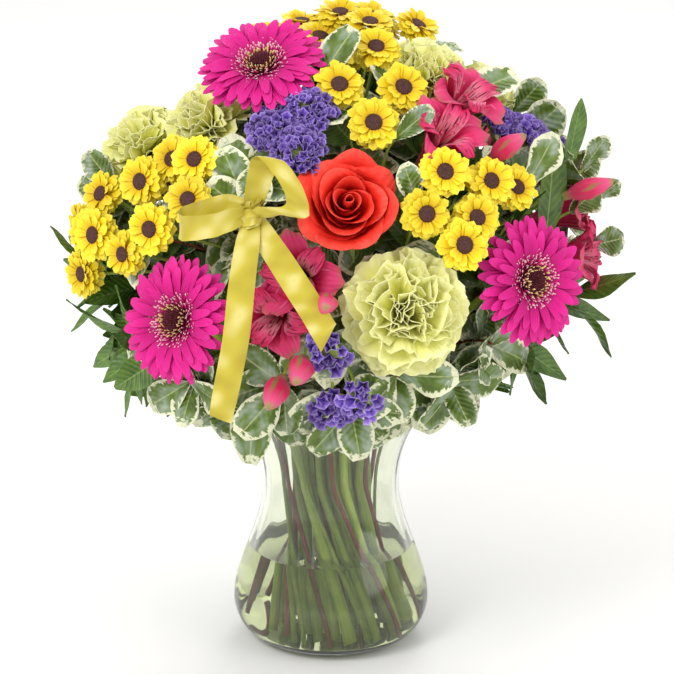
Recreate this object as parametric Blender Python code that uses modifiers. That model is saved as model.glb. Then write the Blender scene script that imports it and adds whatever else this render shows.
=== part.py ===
"""A hand-tied bouquet standing in a clear glass gathering vase.

Metres, +Z up.  The vase stands on z = 0 on its own axis, and the bouquet's front faces -Y.
Every flower is placed by an azimuth (degrees round from the front, towards +X), a lean
(degrees down from straight up) and a reach from the middle of the bouquet's dome.  Its stem
runs from there through the vase's waist and down to the floor of the vase, where all the
stems spiral the same way, so that they pass each other without touching.
"""
import math

import bmesh
import bpy
from mathutils import Matrix, Vector

# The vase
VASE_HEIGHT = 0.180
FOOT_RADIUS = 0.044
BELLY_RADIUS = 0.0712
BELLY_HEIGHT = 0.028
WAIST_RADIUS = 0.0495
WAIST_HEIGHT = 0.116
RIM_RADIUS = 0.072
GLASS_WALL = 0.0034
GLASS_FLOOR = 0.010
WALL_STEP = 0.017
VASE_SIDES = 28
WATER_SIDES = 16
WATER_LEVEL = 0.070
WATER_GAP = 0.0012

# The bouquet
DOME_ABOVE_RIM = 0.098
DOME_CENTRE = Vector((0, 0, VASE_HEIGHT + DOME_ABOVE_RIM))
FULL_LEAN = 105
NECK_ABOVE_WAIST = 0.006
NECK_HEIGHT = WAIST_HEIGHT + NECK_ABOVE_WAIST
NECK_MARGIN = 0.0096
NECK_SPREAD = WAIST_RADIUS - GLASS_WALL - NECK_MARGIN
FLOOR_MARGIN = 0.0168
FLOOR_SPREAD = BELLY_RADIUS - GLASS_WALL - FLOOR_MARGIN
SPIRAL = 52
GAP = 0.0004
BLOOM_GAP = 0.0010
STEM_RISE = 0.14
STEM_ARCH = 0.20
FORK_SHARE = 0.52

# Blooms
GERBERA_RADIUS = 0.045
GERBERA_EYE_RADIUS = 0.0205
CARNATION_RADIUS = 0.034
CARNATION_DEPTH = 0.038
FRONT_CARNATION_SCALE = 1.35
CALYX_RADIUS = 0.0085
CALYX_LENGTH = 0.024
ROSE_RADIUS = 0.037
ROSE_DEPTH = 0.050
POM_RADIUS = 0.0125
POM_DEPTH = 0.009
ALSTROEMERIA_RADIUS = 0.020
ALSTROEMERIA_LENGTH = 0.042
BUD_RADIUS = 0.0065
BUD_LENGTH = 0.026
STATICE_RADIUS = 0.013

# Stem radii
GERBERA_STEM = 0.0030
CARNATION_STEM = 0.0026
ROSE_STEM = 0.0030
SPRAY_STEM = 0.0023
BRANCH = 0.0010
TWIG = 0.0016
TWIG_ARCH = 0.42

# Leaves
ROUND_LEAF_LENGTH = 0.034
ROUND_LEAF_WIDTH = 0.021
POINTED_LEAF_LENGTH = 0.058
POINTED_LEAF_WIDTH = 0.016
LEAF_THICKNESS = 0.0008

# The ribbon
RIBBON_WIDTH = 0.018
RIBBON_THICKNESS = 0.0010
PINCHED_WIDTH = 0.009
KNOT_RADIUS = 0.0075
KNOT = (-17, 63, 0.202)
LEFT_TAIL = [(0, -0.002, -0.002), (-0.002, -0.012, -0.018), (-0.006, -0.018, -0.045),
             (-0.012, -0.021, -0.080), (-0.018, -0.020, -0.112), (-0.023, -0.018, -0.138)]
RIGHT_TAIL = [(0.001, 0.002, -0.002), (0.010, -0.008, -0.018), (0.022, -0.014, -0.042),
              (0.034, -0.018, -0.062), (0.043, -0.020, -0.080)]
LEFT_LOOP = [(-0.001, -0.004, 0.001), (-0.018, -0.014, 0.004), (-0.038, -0.012, 0.003),
             (-0.051, -0.004, 0.000), (-0.036, 0.004, 0.004), (-0.018, 0.005, 0.005),
             (-0.001, 0.003, 0.001)]
RIGHT_LOOP = [(0.002, -0.004, -0.001), (0.018, -0.013, 0.010), (0.028, -0.010, 0.028),
              (0.020, 0.000, 0.042), (0.010, 0.004, 0.030), (0.004, 0.005, 0.014),
              (0.001, 0.003, 0.001)]

# Single flowers: azimuth, lean, reach, then the azimuth and lean that the bloom faces
GERBERAS = {
    "left": (-35, 87, 0.180, -37, 72),
    "right": (49, 81, 0.182, 36, 74),
    "top": (-38, 25, 0.181, -18, 32),
    "back": (172, 72, 0.172, 172, 66),
}
CARNATIONS = {
    "front": (19, 84, 0.162, 18, 74),
    "left_low": (-85, 55, 0.167, -76, 54),
    "left_high": (-60, 40, 0.160, -57, 46),
    "right_low": (104, 43, 0.166, 96, 42),
    "right_high": (75, 26, 0.166, 60, 28),
    "back": (-140, 62, 0.160, -140, 60),
}
ROSE = (5, 57, 0.158, 4, 62)

# Sprays: azimuth and lean of the fork, then azimuth, lean and reach of each bloom
POM_SPRAYS = {
    "left_high": (-46, 64, [(-55, 60, 0.181), (-37, 61, 0.181), (-47, 69, 0.178), (-40, 52, 0.180)]),
    "left_low": (-64, 76, [(-66, 75, 0.184), (-72, 67, 0.181), (-53, 76, 0.181), (-74, 86, 0.180),
                           (-83, 77, 0.180)]),
    "top_front": (14, 28, [(4, 28, 0.176), (-160, 8, 0.166), (36, 17, 0.180), (32, 31, 0.178),
                           (15, 39, 0.174)]),
    "top_back": (150, 16, [(170, 12, 0.182), (146, 17, 0.182), (118, 22, 0.184), (-160, 20, 0.178)]),
    "right": (38, 60, [(31, 54, 0.182), (44, 58, 0.182), (24, 62, 0.176), (36, 65, 0.182),
                       (52, 61, 0.182), (31, 70, 0.182)]),
    "back": (-172, 44, [(-165, 40, 0.176), (-178, 47, 0.176), (-160, 51, 0.176), (172, 40, 0.176)]),
}
ALSTROEMERIAS = {
    "top": (52, 42, [(55, 38, 0.184), (38, 45, 0.180)], [(50, 53, 0.180)]),
    "right": (80, 76, [(86, 74, 0.182), (78, 83, 0.184)], [(74, 68, 0.186)]),
    "left": (-14, 78, [(-9, 75, 0.147), (-15, 86, 0.147)], [(-1, 80, 0.168)]),
    "low": (-12, 94, [], [(-11, 98, 0.178), (-6, 93, 0.178)]),
    "back": (132, 60, [(138, 58, 0.178), (126, 66, 0.178)], [(140, 70, 0.178)]),
}
STATICES = {
    "top": (-12, 40, [(-10, 34, 0.170), (-20, 40, 0.170), (-11, 45, 0.170)]),
    "right": (72, 54, [(70, 46, 0.172), (80, 54, 0.176), (94, 62, 0.178)]),
    "low": (4, 100, [(-1, 91, 0.176), (6, 101, 0.182), (0, 105, 0.172)]),
    "back": (-118, 76, [(-120, 70, 0.176), (-112, 80, 0.176), (-126, 82, 0.176)]),
}

# Sprigs: azimuth, lean and reach of the tip, azimuth and lean that it points, count of leaves,
# how far the leaves open (degrees) and the turn of the first one
VARIEGATED_SPRIGS = {
    "left": (-100, 74, 0.150, -100, 72, 5, 62, 0),
    "left_front": (-27, 57, 0.126, -27, 57, 5, 56, 20),
    "top": (-84, 14, 0.140, -84, 14, 5, 60, 40),
    "right": (108, 66, 0.160, 108, 66, 5, 60, 10),
    "right_front": (42, 106, 0.142, 42, 116, 5, 52, 20),
    "low_left": (-52, 108, 0.140, -50, 118, 4, 50, 45),
    "low_front": (-24, 114, 0.135, -20, 140, 4, 35, 20),
    "low_right": (4, 114, 0.135, 4, 140, 4, 40, 0),
    "back": (164, 100, 0.150, 164, 100, 5, 60, 0),
    "back_left": (-158, 92, 0.150, -158, 92, 5, 60, 30),
    "back_right": (112, 92, 0.150, 112, 92, 5, 60, 15),
}
POINTED_SPRIGS = {
    "left": (-84, 90, 0.160, -86, 88, 4, 36, 0),
    "left_low": (-72, 104, 0.150, -76, 104, 4, 42, 30),
    "right": (84, 94, 0.176, 86, 92, 4, 36, 45),
    "right_high": (64, 68, 0.152, 62, 30, 2, 12, 30),
    "back": (178, 28, 0.150, 178, 28, 3, 15, 20),
}


def direction(azimuth, lean):
    """The unit vector at an azimuth round from the front and a lean down from straight up."""
    around = math.radians(azimuth)
    down = math.radians(lean)
    return Vector((math.sin(down) * math.sin(around), -math.sin(down) * math.cos(around), math.cos(down)))


def on_dome(azimuth, lean, reach):
    """The point of the bouquet at that azimuth, lean and reach from the dome's middle."""
    return DOME_CENTRE + direction(azimuth, lean) * reach


def placement(point, aim, turn=0):
    """The matrix that stands a shape at a point with its +Z along aim."""
    upright = aim.to_track_quat("Z", "Y").to_matrix().to_4x4()
    return Matrix.Translation(point) @ upright @ Matrix.Rotation(math.radians(turn), 4, "Z")


def plain_material(name, colour, roughness=0.6, metallic=0.0, alpha=1.0):
    """A Principled material of one colour."""
    material = bpy.data.materials.new(name)
    material.use_nodes = True
    shader = material.node_tree.nodes["Principled BSDF"]
    shader.inputs["Base Color"].default_value = (*colour, 1)
    shader.inputs["Roughness"].default_value = roughness
    shader.inputs["Metallic"].default_value = metallic
    shader.inputs["Alpha"].default_value = alpha
    return material


def new_object(name, data, collection, matrix=None):
    """An object in a collection, standing where its matrix says."""
    thing = bpy.data.objects.new(name, data)
    if matrix is not None:
        thing.matrix_world = matrix
    collection.objects.link(thing)
    return thing


def welded_mesh(thing):
    """The evaluated mesh of an object, with its loose caps welded on."""
    bpy.context.view_layer.update()
    depsgraph = bpy.context.evaluated_depsgraph_get()
    mesh = bpy.data.meshes.new_from_object(thing.evaluated_get(depsgraph))
    shape = bmesh.new()
    shape.from_mesh(mesh)
    bmesh.ops.remove_doubles(shape, verts=shape.verts, dist=0.00001)
    bmesh.ops.recalc_face_normals(shape, faces=shape.faces)
    shape.to_mesh(mesh)
    shape.free()
    return mesh


def settled(thing):
    """Swaps a curve, or an object with modifiers, for a plain mesh object in the same place."""
    name = thing.name
    matrix = thing.matrix_world.copy()
    collection = thing.users_collection[0]
    mesh = welded_mesh(thing)
    bpy.data.objects.remove(thing)
    return new_object(name, mesh, collection, matrix)


def turned(name, profile, sides, collection, matrix=None):
    """A solid turned round Z from (radius, height) points that run down its outer side."""
    mesh = bpy.data.meshes.new(name)
    points = [(radius, 0, height) for radius, height in profile]
    mesh.from_pydata(points, [(i, i + 1) for i in range(len(points) - 1)], [])
    thing = new_object(name, mesh, collection, matrix)
    screw = thing.modifiers.new("turned", "SCREW")
    screw.steps = sides
    screw.render_steps = sides
    screw.use_merge_vertices = True
    screw.merge_threshold = 0.00001
    return thing


def tube(name, points, radius, collection, roundness=1):
    """A round stem along a line of points, with its ends closed."""
    curve = bpy.data.curves.new(name, "CURVE")
    curve.dimensions = "3D"
    curve.bevel_depth = radius
    curve.bevel_resolution = roundness
    curve.use_fill_caps = True
    spline = curve.splines.new("POLY")
    spline.points.add(len(points) - 1)
    for place, point in zip(spline.points, points):
        place.co = (*point, 1)
    return settled(new_object(name, curve, collection))


def leaf_plate(name, length, width, fullest, collection):
    """A flat leaf that grows from the origin along +Y, widest at the fraction given."""
    steps = 4
    right = []
    for i in range(steps + 1):
        along = i / steps
        bulge = math.sin(math.pi * along ** (math.log(0.5) / math.log(fullest)))
        right.append((max(bulge, 0.10) * width / 2, along * length))
    outline = right + [(-across, along) for across, along in reversed(right)]
    curve = bpy.data.curves.new(name, "CURVE")
    curve.dimensions = "2D"
    curve.fill_mode = "BOTH"
    curve.extrude = LEAF_THICKNESS / 2
    spline = curve.splines.new("POLY")
    spline.points.add(len(outline) - 1)
    for place, (across, along) in zip(spline.points, outline):
        place.co = (across, along, 0, 1)
    spline.use_cyclic_u = True
    return settled(new_object(name, curve, collection))


def joined(base, pieces, operation="UNION"):
    """One body out of a base and the pieces that run into it, or the base cut by them."""
    operands = bpy.data.collections.new("operands")
    bpy.context.scene.collection.children.link(operands)
    for piece in pieces:
        piece.users_collection[0].objects.unlink(piece)
        operands.objects.link(piece)
    cut = base.modifiers.new("joined", "BOOLEAN")
    cut.operation = operation
    cut.operand_type = "COLLECTION"
    cut.collection = operands
    body = settled(base)
    for piece in list(operands.objects):
        bpy.data.objects.remove(piece)
    bpy.data.collections.remove(operands)
    return body


def bezier(start, first, second, end, count):
    """Points along a cubic curve, without its start."""
    points = []
    for i in range(1, count + 1):
        t = i / count
        s = 1 - t
        points.append(start * s ** 3 + first * 3 * s * s * t + second * 3 * s * t * t + end * t ** 3)
    return points


def vase_radius(height):
    """The vase's outer radius: a round foot corner, a belly, a waist and a flared rim."""
    if height < BELLY_HEIGHT:
        corner = math.sqrt(1 - (1 - height / BELLY_HEIGHT) ** 2)
        return FOOT_RADIUS + (BELLY_RADIUS - FOOT_RADIUS) * corner
    if height < WAIST_HEIGHT:
        up = (height - BELLY_HEIGHT) / (WAIST_HEIGHT - BELLY_HEIGHT)
        return BELLY_RADIUS + (WAIST_RADIUS - BELLY_RADIUS) * (3 * up ** 2 - 2 * up ** 3)
    flare = (height - WAIST_HEIGHT) / (VASE_HEIGHT - WAIST_HEIGHT)
    return WAIST_RADIUS + (RIM_RADIUS - WAIST_RADIUS) * flare ** 2.4


def vase_wall(bottom, top, inset):
    """(radius, height) points up a line that keeps a distance inside the vase's outer face."""
    corner = [BELLY_HEIGHT * (1 - math.cos(math.radians(turn))) for turn in range(0, 90, 15)]
    steps = round((VASE_HEIGHT - BELLY_HEIGHT) / WALL_STEP)
    above = [BELLY_HEIGHT + (VASE_HEIGHT - BELLY_HEIGHT) * i / steps for i in range(steps)]
    between = [height for height in corner + above if bottom + 0.001 < height < top - 0.001]
    heights = [bottom] + between + [top]
    return [(vase_radius(height) - inset, height) for height in heights]


def stem_foot(azimuth, lean):
    """Where a stem ends on the vase's floor, turned by the spiral."""
    outward = FLOOR_SPREAD * lean / FULL_LEAN
    around = math.radians(azimuth + SPIRAL)
    return Vector((math.sin(around) * outward, -math.cos(around) * outward, GLASS_FLOOR + 0.0028))


def stem_neck(azimuth, lean):
    """Where a stem passes the vase's waist."""
    outward = NECK_SPREAD * lean / FULL_LEAN
    around = math.radians(azimuth)
    return Vector((math.sin(around) * outward, -math.cos(around) * outward, NECK_HEIGHT))


def stem_route(azimuth, lean, tip, aim, arch=STEM_ARCH):
    """The points of a stem from the vase's floor, through the waist, to a tip that it enters along aim."""
    foot = stem_foot(azimuth, lean)
    neck = stem_neck(azimuth, lean)
    rise = (neck - foot).normalized()
    span = (tip - neck).length
    start = neck + (rise + Vector((0, 0, 1))) * span * STEM_RISE
    end = tip - aim * span * arch
    return [foot, neck] + bezier(neck, start, end, tip, 6)


def gerbera_profile():
    """The outline of a gerbera's head: a flat eye, a shallow dish of rays and a green cup below."""
    return [(0, 0.004), (GERBERA_EYE_RADIUS, 0.004), (GERBERA_EYE_RADIUS + 0.002, 0.002),
            (GERBERA_RADIUS, 0.003), (GERBERA_RADIUS, 0.001), (GERBERA_EYE_RADIUS, -0.003),
            (0.009, -0.012), (0.0045, -0.015), (0, -0.015)]


def carnation_profile(scale):
    """The outline of a carnation's bloom: a full crown over a tapered calyx."""
    crown = [(0, 0.5), (0.42, 0.5), (0.80, 0.30), (1.0, 0.02), (0.86, -0.26), (0.45, -0.46)]
    full = [(across * CARNATION_RADIUS * scale, up * CARNATION_DEPTH * scale) for across, up in crown]
    base = -CARNATION_DEPTH * scale / 2
    return full + [(CALYX_RADIUS, base - 0.002), (CALYX_RADIUS * 0.8, base - CALYX_LENGTH * 0.8),
                   (0, base - CALYX_LENGTH)]


def rose_profile():
    """The outline of a rose: rolled outer petals round a deep cup, over a small hip."""
    cup = [(0, 0.38), (0.50, 0.38), (0.90, 0.22), (1.0, 0.02), (0.84, -0.30), (0.40, -0.50), (0, -0.56)]
    return [(across * ROSE_RADIUS, up * ROSE_DEPTH) for across, up in cup]


def pom_profile():
    """The outline of a small button daisy: a flat face over a rounded back."""
    return [(0, 0.5 * POM_DEPTH), (POM_RADIUS * 0.8, 0.5 * POM_DEPTH), (POM_RADIUS, 0),
            (POM_RADIUS * 0.5, -0.5 * POM_DEPTH), (0, -0.5 * POM_DEPTH)]


def alstroemeria_profile():
    """The outline of an open alstroemeria: a funnel from its narrow base to its mouth."""
    shape = [(0, 0.08), (0.96, 0.08), (0.90, -0.04), (0.40, -0.50), (0.16, -1.0), (0, -1.0)]
    return [(across * ALSTROEMERIA_RADIUS, up * ALSTROEMERIA_LENGTH) for across, up in shape]


def bud_profile():
    """The outline of a closed bud."""
    shape = [(0, 1.0), (0.30, 1.0), (1.0, 0.42), (0.80, 0.12), (0.30, 0), (0, 0)]
    return [(across * BUD_RADIUS, up * BUD_LENGTH) for across, up in shape]


def statice_profile():
    """The outline of one tuft of statice: a flat-topped dome of florets."""
    shape = [(0, 0.50), (0.70, 0.50), (1.0, 0.0), (0.55, -0.40), (0, -0.50)]
    return [(across * STATICE_RADIUS, up * STATICE_RADIUS) for across, up in shape]


def single_flower(name, place, profile, depth, stem_radius, sides, collection):
    """A bloom on a stem of its own: two nodes that meet face to face under the bloom."""
    azimuth, lean, reach, face_azimuth, face_lean = place
    aim = direction(face_azimuth, face_lean)
    middle = on_dome(azimuth, lean, reach)
    turned(name, profile, sides, collection, placement(middle, aim))
    tip = middle - aim * (depth + BLOOM_GAP)
    return tube(f"{name}_stem", stem_route(azimuth, lean, tip, aim), stem_radius, collection)


def spray(name, fork_place, heads, stem_radius, collection):
    """A branched spray as one body: its stem to the fork, and a branch to each bloom.

    heads holds (azimuth, lean, reach, profile, depth, sides) for each bloom or bud.
    """
    azimuth, lean = fork_place
    nearest = min(head[2] for head in heads)
    fork = on_dome(azimuth, lean, nearest * FORK_SHARE)
    aim = direction(azimuth, lean)
    route = stem_route(azimuth, lean, fork, aim)
    stem = tube(name, route, stem_radius, collection)
    below = route[-2]
    pieces = []
    for number, (head_azimuth, head_lean, reach, profile, depth, sides) in enumerate(heads):
        middle = on_dome(head_azimuth, head_lean, reach)
        out = direction(head_azimuth, head_lean)
        inside = middle - out * depth * 0.7
        span = (inside - below).length
        branch = [below] + bezier(below, below + aim * span * 0.35, inside - out * span * 0.3, inside, 3)
        pieces.append(tube(f"branch_{number}", branch, BRANCH, collection, 0))
        bloom = turned(f"bloom_{number}", profile, sides, collection, placement(middle, out))
        pieces.append(settled(bloom))
    return joined(stem, pieces)


def sprig(name, place, leaf, collection):
    """A leafy twig as one body: a stem with a whorl of flat leaves round its tip."""
    azimuth, lean, reach, face_azimuth, face_lean, count, opening, turn = place
    aim = direction(face_azimuth, face_lean)
    route = stem_route(azimuth, lean, on_dome(azimuth, lean, reach), aim, TWIG_ARCH)
    twig = tube(name, route, TWIG, collection, 0)
    pieces = []
    for i in range(count):
        back = route[-1].lerp(route[-2], 0.1 + 0.8 * i / count)
        around = placement(back, aim, turn + 360 * i / count)
        lift = Matrix.Rotation(math.radians(90 - opening), 4, "X")
        pieces.append(new_object(f"leaf_{i}", leaf.data, collection, around @ lift))
    return joined(twig, pieces)


def pom_head(place):
    """One button daisy of a spray."""
    return (*place, pom_profile(), POM_DEPTH / 2, 8)


def alstroemeria_head(place):
    """One open bloom of an alstroemeria."""
    return (*place, alstroemeria_profile(), ALSTROEMERIA_LENGTH, 6)


def bud_head(place):
    """One closed bud of an alstroemeria."""
    return (*place, bud_profile(), -BUD_LENGTH * 0.1, 6)


def statice_head(place):
    """One tuft of a statice spray."""
    return (*place, statice_profile(), STATICE_RADIUS * 0.5, 7)


def make_vase(collection):
    """The glass: one wall of even thickness over a thick floor."""
    inner = [(0, GLASS_FLOOR)] + vase_wall(GLASS_FLOOR, VASE_HEIGHT - 0.001, GLASS_WALL)
    outer = list(reversed(vase_wall(0, VASE_HEIGHT - 0.001, 0)))
    rim = [(RIM_RADIUS - GLASS_WALL * 0.5, VASE_HEIGHT)]
    return turned("glass_vase", inner + rim + outer + [(0, 0)], VASE_SIDES, collection)


def make_water(stems, collection, cutters):
    """The water: a plug that clears the glass and every stem that stands in it."""
    floor = GLASS_FLOOR + GAP
    side = vase_wall(floor, WATER_LEVEL, GLASS_WALL + WATER_GAP)
    profile = [(0, WATER_LEVEL)] + list(reversed(side)) + [(0, floor)]
    plug = settled(turned("water", profile, WATER_SIDES, collection))
    pieces = []
    for number, (azimuth, lean, radius) in enumerate(stems):
        foot = stem_foot(azimuth, lean)
        neck = stem_neck(azimuth, lean)
        down = (foot - neck).normalized()
        ends = [neck, foot + down * 2 * GAP]
        pieces.append(tube(f"hole_{number}", ends, radius + 2 * GAP, cutters))
    return joined(plug, pieces, "DIFFERENCE")


def ribbon_band(name, knot, offsets, side, pinched, collection):
    """A flat band of ribbon from the knot, its width along side and narrow where it is tied."""
    shape = bmesh.new()
    rows = []
    for number, offset in enumerate(offsets):
        tied = number == 0 or (pinched and number == len(offsets) - 1)
        half = side.normalized() * (PINCHED_WIDTH if tied else RIBBON_WIDTH) / 2
        point = knot + Vector(offset)
        rows.append([shape.verts.new(point - half), shape.verts.new(point + half)])
    for lower, upper in zip(rows, rows[1:]):
        shape.faces.new((lower[0], lower[1], upper[1], upper[0]))
    mesh = bpy.data.meshes.new(name)
    shape.to_mesh(mesh)
    shape.free()
    band = new_object(name, mesh, collection)
    wall = band.modifiers.new("thickness", "SOLIDIFY")
    wall.thickness = RIBBON_THICKNESS
    wall.offset = 0
    return settled(band)


def make_ribbon(collection):
    """The bow: a knot, two loops and two tails, tied in front of the flowers."""
    knot = on_dome(*KNOT)
    bpy.ops.mesh.primitive_ico_sphere_add(subdivisions=2, radius=KNOT_RADIUS, location=knot)
    ball = bpy.context.active_object
    ball.name = "ribbon_bow"
    for owner in ball.users_collection:
        owner.objects.unlink(ball)
    collection.objects.link(ball)
    bands = {
        "left_tail": (LEFT_TAIL, Vector((1, 0.1, 0.1)), False),
        "right_tail": (RIGHT_TAIL, Vector((0.9, 0.1, 0.42)), False),
        "left_loop": (LEFT_LOOP, Vector((0.1, -0.2, 1)), True),
        "right_loop": (RIGHT_LOOP, Vector((-0.9, -0.2, 0.4)), True),
    }
    pieces = []
    for name, (offsets, side, pinched) in bands.items():
        pieces.append(ribbon_band(name, knot, offsets, side, pinched, collection))
    return joined(settled(ball), pieces)


def dress(collection, looks):
    """Gives each node a material of its own from the first look whose word is in its name."""
    for thing in collection.objects:
        colour, roughness, alpha = next(look for word, look in looks.items() if word in thing.name)
        thing.data.materials.clear()
        thing.data.materials.append(plain_material(thing.name, colour, roughness, alpha=alpha))
        thing.data.shade_smooth()
        thing.data.set_sharp_from_angle(angle=math.radians(40))


def main():
    for thing in list(bpy.data.objects):
        bpy.data.objects.remove(thing)
    bouquet = bpy.data.collections.new("bouquet_in_vase")
    cutters = bpy.data.collections.new("cutters")
    bpy.context.scene.collection.children.link(bouquet)
    bpy.context.scene.collection.children.link(cutters)
    stems = []

    make_vase(bouquet)
    for name, place in GERBERAS.items():
        single_flower(f"gerbera_{name}", place, gerbera_profile(), 0.015, GERBERA_STEM, 20, bouquet)
        stems.append((*place[:2], GERBERA_STEM))
    for name, place in CARNATIONS.items():
        scale = FRONT_CARNATION_SCALE if name == "front" else 1
        depth = CARNATION_DEPTH * scale / 2 + CALYX_LENGTH
        profile = carnation_profile(scale)
        single_flower(f"carnation_{name}", place, profile, depth, CARNATION_STEM, 12, bouquet)
        stems.append((*place[:2], CARNATION_STEM))
    single_flower("rose", ROSE, rose_profile(), ROSE_DEPTH * 0.56, ROSE_STEM, 14, bouquet)
    stems.append((*ROSE[:2], ROSE_STEM))

    for name, (azimuth, lean, heads) in POM_SPRAYS.items():
        blooms = [pom_head(head) for head in heads]
        spray(f"pom_spray_{name}", (azimuth, lean), blooms, SPRAY_STEM, bouquet)
        stems.append((azimuth, lean, SPRAY_STEM))
    for name, (azimuth, lean, heads, buds) in ALSTROEMERIAS.items():
        blooms = [alstroemeria_head(head) for head in heads] + [bud_head(bud) for bud in buds]
        spray(f"alstroemeria_{name}", (azimuth, lean), blooms, SPRAY_STEM, bouquet)
        stems.append((azimuth, lean, SPRAY_STEM))
    for name, (azimuth, lean, heads) in STATICES.items():
        tufts = [statice_head(head) for head in heads]
        spray(f"statice_{name}", (azimuth, lean), tufts, SPRAY_STEM, bouquet)
        stems.append((azimuth, lean, SPRAY_STEM))

    round_leaf = leaf_plate("round_leaf", ROUND_LEAF_LENGTH, ROUND_LEAF_WIDTH, 0.62, cutters)
    pointed_leaf = leaf_plate("pointed_leaf", POINTED_LEAF_LENGTH, POINTED_LEAF_WIDTH, 0.42, cutters)
    for kind, leaf, places in (("variegated", round_leaf, VARIEGATED_SPRIGS),
                               ("pointed", pointed_leaf, POINTED_SPRIGS)):
        for name, place in places.items():
            sprig(f"{kind}_sprig_{name}", place, leaf, bouquet)
            stems.append((*place[:2], TWIG))
    bpy.data.objects.remove(round_leaf)
    bpy.data.objects.remove(pointed_leaf)

    make_water(stems, bouquet, cutters)
    make_ribbon(bouquet)
    dress(bouquet, {
        "glass_vase": ((0.85, 0.93, 0.90), 0.05, 0.3),
        "water": ((0.80, 0.90, 0.86), 0.05, 0.4),
        "ribbon": ((0.80, 0.62, 0.06), 0.35, 1),
        "stem": ((0.16, 0.30, 0.05), 0.5, 1),
        "gerbera": ((0.69, 0.02, 0.27), 0.6, 1),
        "carnation": ((0.72, 0.75, 0.30), 0.7, 1),
        "rose": ((0.80, 0.03, 0.02), 0.5, 1),
        "pom_spray": ((0.85, 0.60, 0.02), 0.6, 1),
        "alstroemeria": ((0.68, 0.04, 0.13), 0.5, 1),
        "statice": ((0.20, 0.08, 0.48), 0.8, 1),
        "variegated": ((0.30, 0.38, 0.18), 0.45, 1),
        "pointed": ((0.08, 0.18, 0.04), 0.45, 1),
    })


main()
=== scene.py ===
"""The looks of a hand-tied bouquet in a clear glass gathering vase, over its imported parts."""

import math
import random

import bmesh
import bpy
from mathutils import Matrix, Quaternion, Vector


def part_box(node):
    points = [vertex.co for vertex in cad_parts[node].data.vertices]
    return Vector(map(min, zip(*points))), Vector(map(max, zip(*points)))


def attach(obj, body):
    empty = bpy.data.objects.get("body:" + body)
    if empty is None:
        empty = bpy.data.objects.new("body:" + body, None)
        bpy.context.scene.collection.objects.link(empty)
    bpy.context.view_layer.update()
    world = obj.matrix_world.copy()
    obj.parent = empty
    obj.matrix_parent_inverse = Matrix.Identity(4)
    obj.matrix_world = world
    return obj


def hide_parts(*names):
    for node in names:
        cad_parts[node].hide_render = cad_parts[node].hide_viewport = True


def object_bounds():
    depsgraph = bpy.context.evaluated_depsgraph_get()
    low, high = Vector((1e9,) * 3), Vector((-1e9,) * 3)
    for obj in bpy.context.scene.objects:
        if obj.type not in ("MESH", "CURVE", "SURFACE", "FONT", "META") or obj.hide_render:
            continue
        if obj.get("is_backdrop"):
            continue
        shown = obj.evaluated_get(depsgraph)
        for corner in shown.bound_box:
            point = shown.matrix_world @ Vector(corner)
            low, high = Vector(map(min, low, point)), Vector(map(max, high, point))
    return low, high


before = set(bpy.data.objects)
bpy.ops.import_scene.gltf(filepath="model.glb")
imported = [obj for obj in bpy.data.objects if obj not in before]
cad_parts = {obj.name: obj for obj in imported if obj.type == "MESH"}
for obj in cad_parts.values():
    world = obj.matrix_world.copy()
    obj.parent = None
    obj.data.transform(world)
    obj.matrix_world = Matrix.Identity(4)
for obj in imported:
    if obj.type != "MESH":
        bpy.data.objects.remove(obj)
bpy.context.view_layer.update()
chance = random.Random(20)

# The bouquet's own geometry, as in its CAD
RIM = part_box("glass_vase")[1][2]
DOME_ABOVE_RIM = 0.098
DOME_CENTRE = Vector((0, 0, RIM + DOME_ABOVE_RIM))
FULL_LEAN = 105
NECK_HEIGHT = 0.122
NECK_SPREAD = 0.0365
FLOOR_SPREAD = 0.0510
SPIRAL = 52
FORK_SHARE = 0.52
SPRAY_STEM = 0.0023
FACE_UP = Vector((0, 0, 1))
GOLDEN_ANGLE = 137.508
# The CAD faces that stand for blooms: least and most area in mm2, and how far back the middle is
SMALL_HEADS = (200, 400, 0.0045)
TRUMPET_HEADS = (500, 1500, 0.0034)
BUD_HEADS = (7, 15, 0.026)
TUFT_HEADS = (150, 350, 0.0065)
# The least area in mm2 of the CAD plates that stand for leaves
ROUND_AREA = 350
LANCE_AREA = 450
# How far most blooms stand from the dome's centre, which turns a bloom's radius into an angle
BLOOM_SHELL = 0.165


# ---------------------------------------------------------------- places

def flats(node, least):
    """The flat faces of a CAD node over an area in mm2: (centre, normal, area, corners) each."""
    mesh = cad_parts[node].data
    found = []
    for face in mesh.polygons:
        reach = face.normal.dot(face.center)
        for flat in found:
            if flat[1].dot(face.normal) > 0.9998 and abs(flat[3] - reach) < 0.00005:
                flat[0] += face.center * face.area
                flat[2] += face.area
                flat[4].extend(mesh.vertices[i].co for i in face.vertices)
                break
        else:
            corners = [mesh.vertices[i].co for i in face.vertices]
            found.append([face.center * face.area, face.normal.copy(), face.area, reach, corners])
    return [(total / area, normal, area * 1e6, corners)
            for total, normal, area, reach, corners in found if area * 1e6 > least]


def faces_out(flat):
    """True where a flat faces away from the middle of the bouquet."""
    return flat[1].dot(flat[0] - DOME_CENTRE) > 0.02


def stem_foot(node):
    """Where a CAD stem ends on the vase's floor."""
    corners = [vert.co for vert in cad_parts[node].data.vertices if vert.co.z < 0.03]
    return sum(corners, Vector()) / len(corners)


def direction(azimuth, lean):
    """The unit vector at an azimuth round from the front and a lean down from straight up."""
    around, down = math.radians(azimuth), math.radians(lean)
    return Vector((math.sin(down) * math.sin(around), -math.sin(down) * math.cos(around),
        math.cos(down)))


def foot_direction(foot):
    """The way out of the dome that belongs to a stem's foot."""
    azimuth = math.degrees(math.atan2(foot.x, -foot.y)) - SPIRAL
    lean = math.hypot(foot.x, foot.y) * FULL_LEAN / FLOOR_SPREAD
    return direction(azimuth, lean)


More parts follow.
